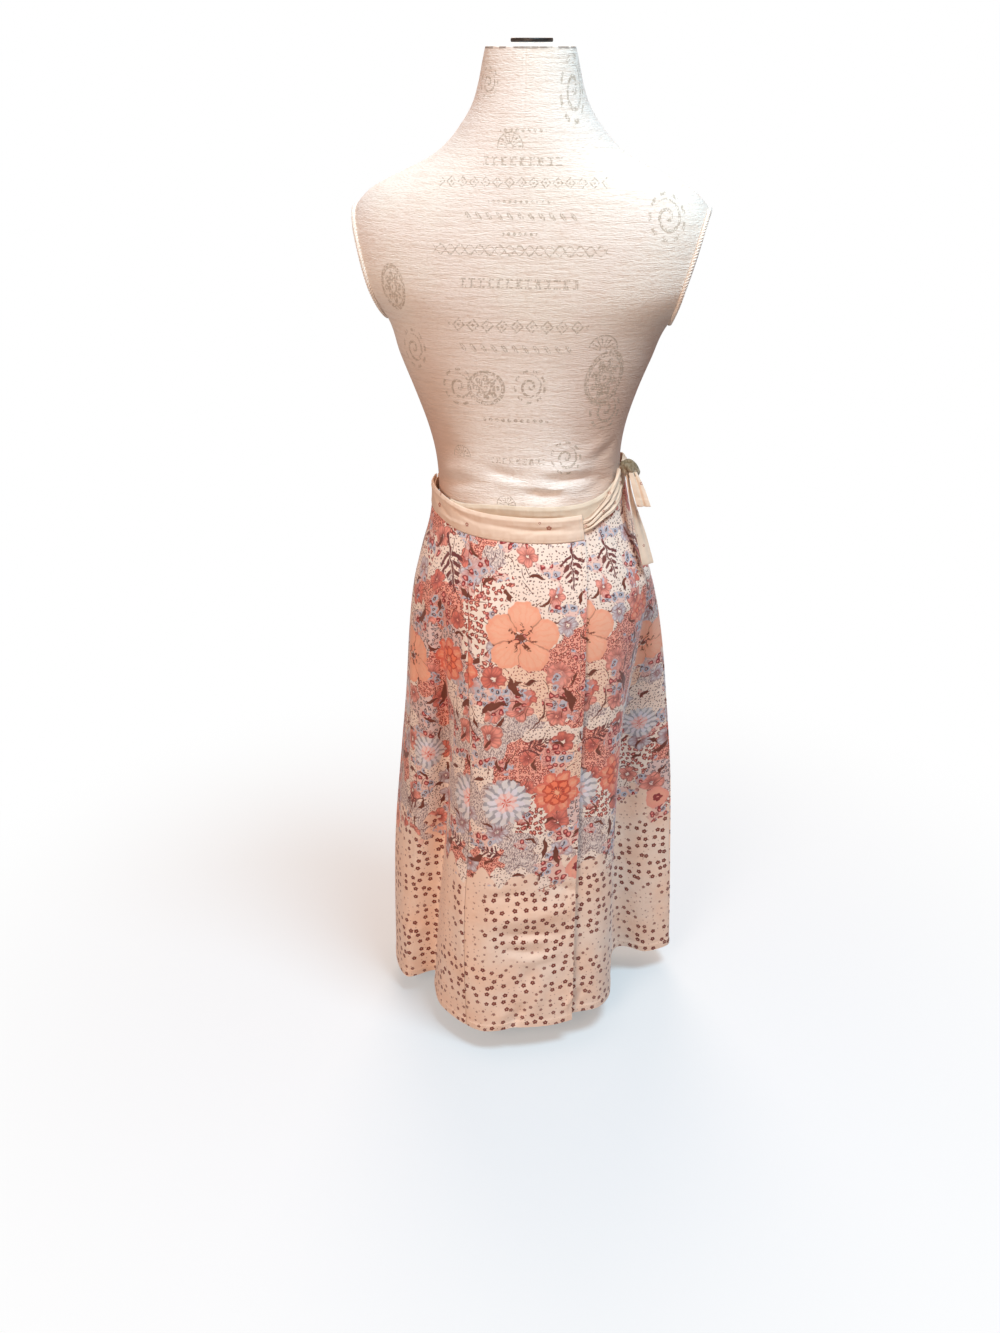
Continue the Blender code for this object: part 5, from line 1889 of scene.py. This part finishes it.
def add_form():
    rows = form_rows()
    turns = np.array([form_turns(height) for height, _, _ in rows])
    points = np.array([form_surface(turns[j], height) for j, (height, _, _) in enumerate(rows)])
    inward = np.array([row[1] for row in rows])[:, None]
    middle = sway(np.array([row[0] for row in rows]))[:, None]
    points[..., 0] = middle + (points[..., 0] - middle) * inward
    points[..., 1] *= inward
    points[..., 2] += np.array([row[2] for row in rows])[:, None]
    wide = travelled(points, 1)
    wide -= wide[:, turns.shape[1] // 2][:, None]
    half_way = wide[:, -1:]
    from_front = np.where(wide > 0, half_way - wide, -half_way - wide)
    bm = bmesh.new()
    bmesh.ops.create_grid(bm, x_segments=turns.shape[1] - 1, y_segments=len(rows) - 1, size=0.5)
    i, j = grid_places(bm, turns.shape[1], len(rows))
    heights = points[..., 2]
    layer = bm.loops.layers.uv.new("flat")
    bm.verts.index_update()
    for face in bm.faces:
        picked = [(j[loop.vert.index], i[loop.vert.index]) for loop in face.loops]
        on_back = sum(abs(turns[row, column]) for row, column in picked) < 360
        source = wide if on_back else from_front
        for loop, (row, column) in zip(face.loops, picked):
            loop[layer].uv = (source[row, column], heights[row, column])
    for vert, point in zip(bm.verts, points[j, i]):
        vert.co = point
    bmesh.ops.remove_doubles(bm, verts=bm.verts, dist=1e-6)
    bmesh.ops.recalc_face_normals(bm, faces=bm.faces)
    print("form: rows", len(rows), "columns", turns.shape[1])
    piece = add_piece("form_body", bm, [cover_material()], sharp=50)
    return on_root(piece, "form_cover", "form_torso")


form_body = add_form()

# %% [markdown]
# ### Braid on the shoulder ends
#
# A twisted cord of three strands hides the seam where the flat end meets the body.  Each
# strand is a curve that winds round the rim, given its thickness by a round bevel.

# %% Braid
STRANDS, STRAND_RADIUS, STRAND_OFFSET, TWIST_PITCH = 3, 0.00125, 0.00135, 0.0100
LOOP_POINTS = 420


def rim_line(side):
    """A closed line round one shoulder end, up its back edge and down its front one."""
    heights = mix(RIM_LOW, RIM_HIGH, 0.5 - 0.5 * np.cos(np.linspace(0, np.pi, 60)))
    half_width, back, front, square = section_at(FORM_SECTIONS, heights)
    rim = np.maximum(rim_turn(heights), 1.0)
    x = side * (plate_at(heights) + 0.0010) + sway(heights)
    up, down = (
        np.stack([x, oval(half_width, back, front, turn, square)[1], heights], axis=-1)
        for turn in (90 - rim, 90 + rim)
    )
    return np.concatenate([up, down[::-1][1:-1]])


def even_loop(points, count):
    """The same closed line with evenly spaced points, softened at its two ends."""
    closed = np.concatenate([points, points[:1]])
    length = travelled(closed)[-1]
    line = along_line(closed, np.linspace(0, length, count, endpoint=False))
    for _ in range(6):
        line = (np.roll(line, 1, axis=0) + 2 * line + np.roll(line, -1, axis=0)) / 4
    return line, length


def braid_material():
    made, shader, start = new_material(
        "cord_cotton", 0.8, Sheen_Weight=0.2, Specular_IOR_Level=0.25
    )
    fibres = solid_map(start).solid_noise(700.0, 3.0)
    colour = plain(start, rgb(248, 238, 226))
    colour = colour.paint(fibres.under(0.45, 0.2) * 0.6, rgb(206, 186, 162))
    finish_material(shader, colour, fibres, 0.0005)
    return made


def add_braid(name, side):
    line, length = even_loop(rim_line(side), LOOP_POINTS)
    twists = round(length / TWIST_PITCH)
    tangent = np.roll(line, -1, axis=0) - np.roll(line, 1, axis=0)
    tangent /= np.linalg.norm(tangent, axis=1, keepdims=True)
    sideways = np.array([side, 0.0, 0.0])
    out = sideways - tangent * (tangent @ sideways)[:, None]
    out /= np.linalg.norm(out, axis=1, keepdims=True)
    across = np.cross(tangent, out)
    data = bpy.data.curves.new(name, "CURVE")
    data.dimensions, data.bevel_depth, data.bevel_resolution = "3D", STRAND_RADIUS, 1
    for strand in range(STRANDS):
        share = np.arange(len(line)) / len(line)
        angle = 2 * np.pi * (share * twists + strand / STRANDS)[:, None]
        points = line + STRAND_OFFSET * (out * np.cos(angle) + across * np.sin(angle))
        spline = data.splines.new("POLY")
        spline.points.add(len(points) - 1)
        spline.points.foreach_set("co", np.insert(points, 3, 1, axis=1).ravel())
        spline.use_cyclic_u = True
    guide = bpy.data.objects.new(name + "_guide", data)
    bpy.context.scene.collection.objects.link(guide)
    thick = guide.evaluated_get(bpy.context.evaluated_depsgraph_get())
    mesh = bpy.data.meshes.new_from_object(thick)
    bpy.data.objects.remove(guide)
    for polygon in mesh.polygons:
        polygon.use_smooth = True
    mesh.materials.clear()
    mesh.materials.append(CORD)
    piece = bpy.data.objects.new(name, mesh)
    bpy.context.scene.collection.objects.link(piece)
    print(name, "length", round(length, 3), "m, twists", twists)
    return on_root(piece, "form_cover")


CORD = braid_material()
add_braid("shoulder_braid_right", 1)
add_braid("shoulder_braid_left", -1)

# %% [markdown]
# ## The stand
#
# Turned metal: a low plate, a hub with a shoulder, and the pole that the form sits on.  Each is
# a profile spun about the axis, with its edges rounded.

# %% Stand


def metal_material():
    made, shader, start = new_material("dark_steel", 0.45, Metallic=0.85)
    place = solid_map(start)
    cloudy, fine = place.solid_noise(60.0, 4.0), place.times((1, 1, 6)).solid_noise(500.0)
    colour = plain(start, (0.045, 0.042, 0.040))
    colour = colour.paint(cloudy.over(0.58, 0.12) * 0.5, (0.11, 0.085, 0.065))
    finish_material(shader, colour, fine, 0.0002, cloudy * 0.25 + 0.30)
    return made


METAL = metal_material()


TURNED_PIECES = (
    # piece, node, radius, radius at the top, low, high, rounding of the edge, towards +Y
    ("base_plate", "stand_base", 0.080, 0.080, 0.0, 0.014, 0.002, 0.0),
    ("pole_hub", "stand_hub", 0.022, 0.016, 0.0143, 0.0403, 0.0015, 0.0),
    ("pole", "stand_pole", 0.0125, 0.0125, 0.0406, 0.5297, 0.0008, 0.0),
    ("neck_disc", "neck_plate", 0.022, 0.022, 1.2093, 1.2133, 0.0012, 0.010),
)
ROUND_STEPS = 96


def rounded_profile(radius, top, low, high, edge):
    """Radius and height from the middle underneath to the middle on top, round at both edges."""
    quarter = [math.radians(a) for a in (0, 22, 45, 68, 90)]
    lower = [(radius - edge + edge * math.sin(a), low + edge - edge * math.cos(a)) for a in quarter]
    upper = [(top - edge + edge * math.cos(a), high - edge + edge * math.sin(a)) for a in quarter]
    return [(0.0, low), *lower, *upper, (0.0, high)]


def add_turned(name, node, profile, forward):
    """Spins a profile about the axis."""
    bm = bmesh.new()
    verts = [bm.verts.new((radius, 0.0, height)) for radius, height in profile]
    edges = [bm.edges.new(pair) for pair in zip(verts[:-1], verts[1:])]
    turning = {"axis": (0, 0, 1), "cent": (0, 0, 0), "angle": 2 * math.pi, "steps": ROUND_STEPS}
    bmesh.ops.spin(bm, geom=verts + edges, use_merge=True, **turning)
    bmesh.ops.remove_doubles(bm, verts=bm.verts, dist=1e-6)
    bmesh.ops.recalc_face_normals(bm, faces=bm.faces)
    bmesh.ops.translate(bm, vec=(0.0, forward, 0.0), verts=bm.verts)
    return on_root(add_piece(name, bm, [METAL], sharp=40), "dark_metal", node)


for name, node, *sizes, forward in TURNED_PIECES:
    add_turned(name, node, rounded_profile(*sizes), forward)
print("turned pieces:", [row[0] for row in TURNED_PIECES])
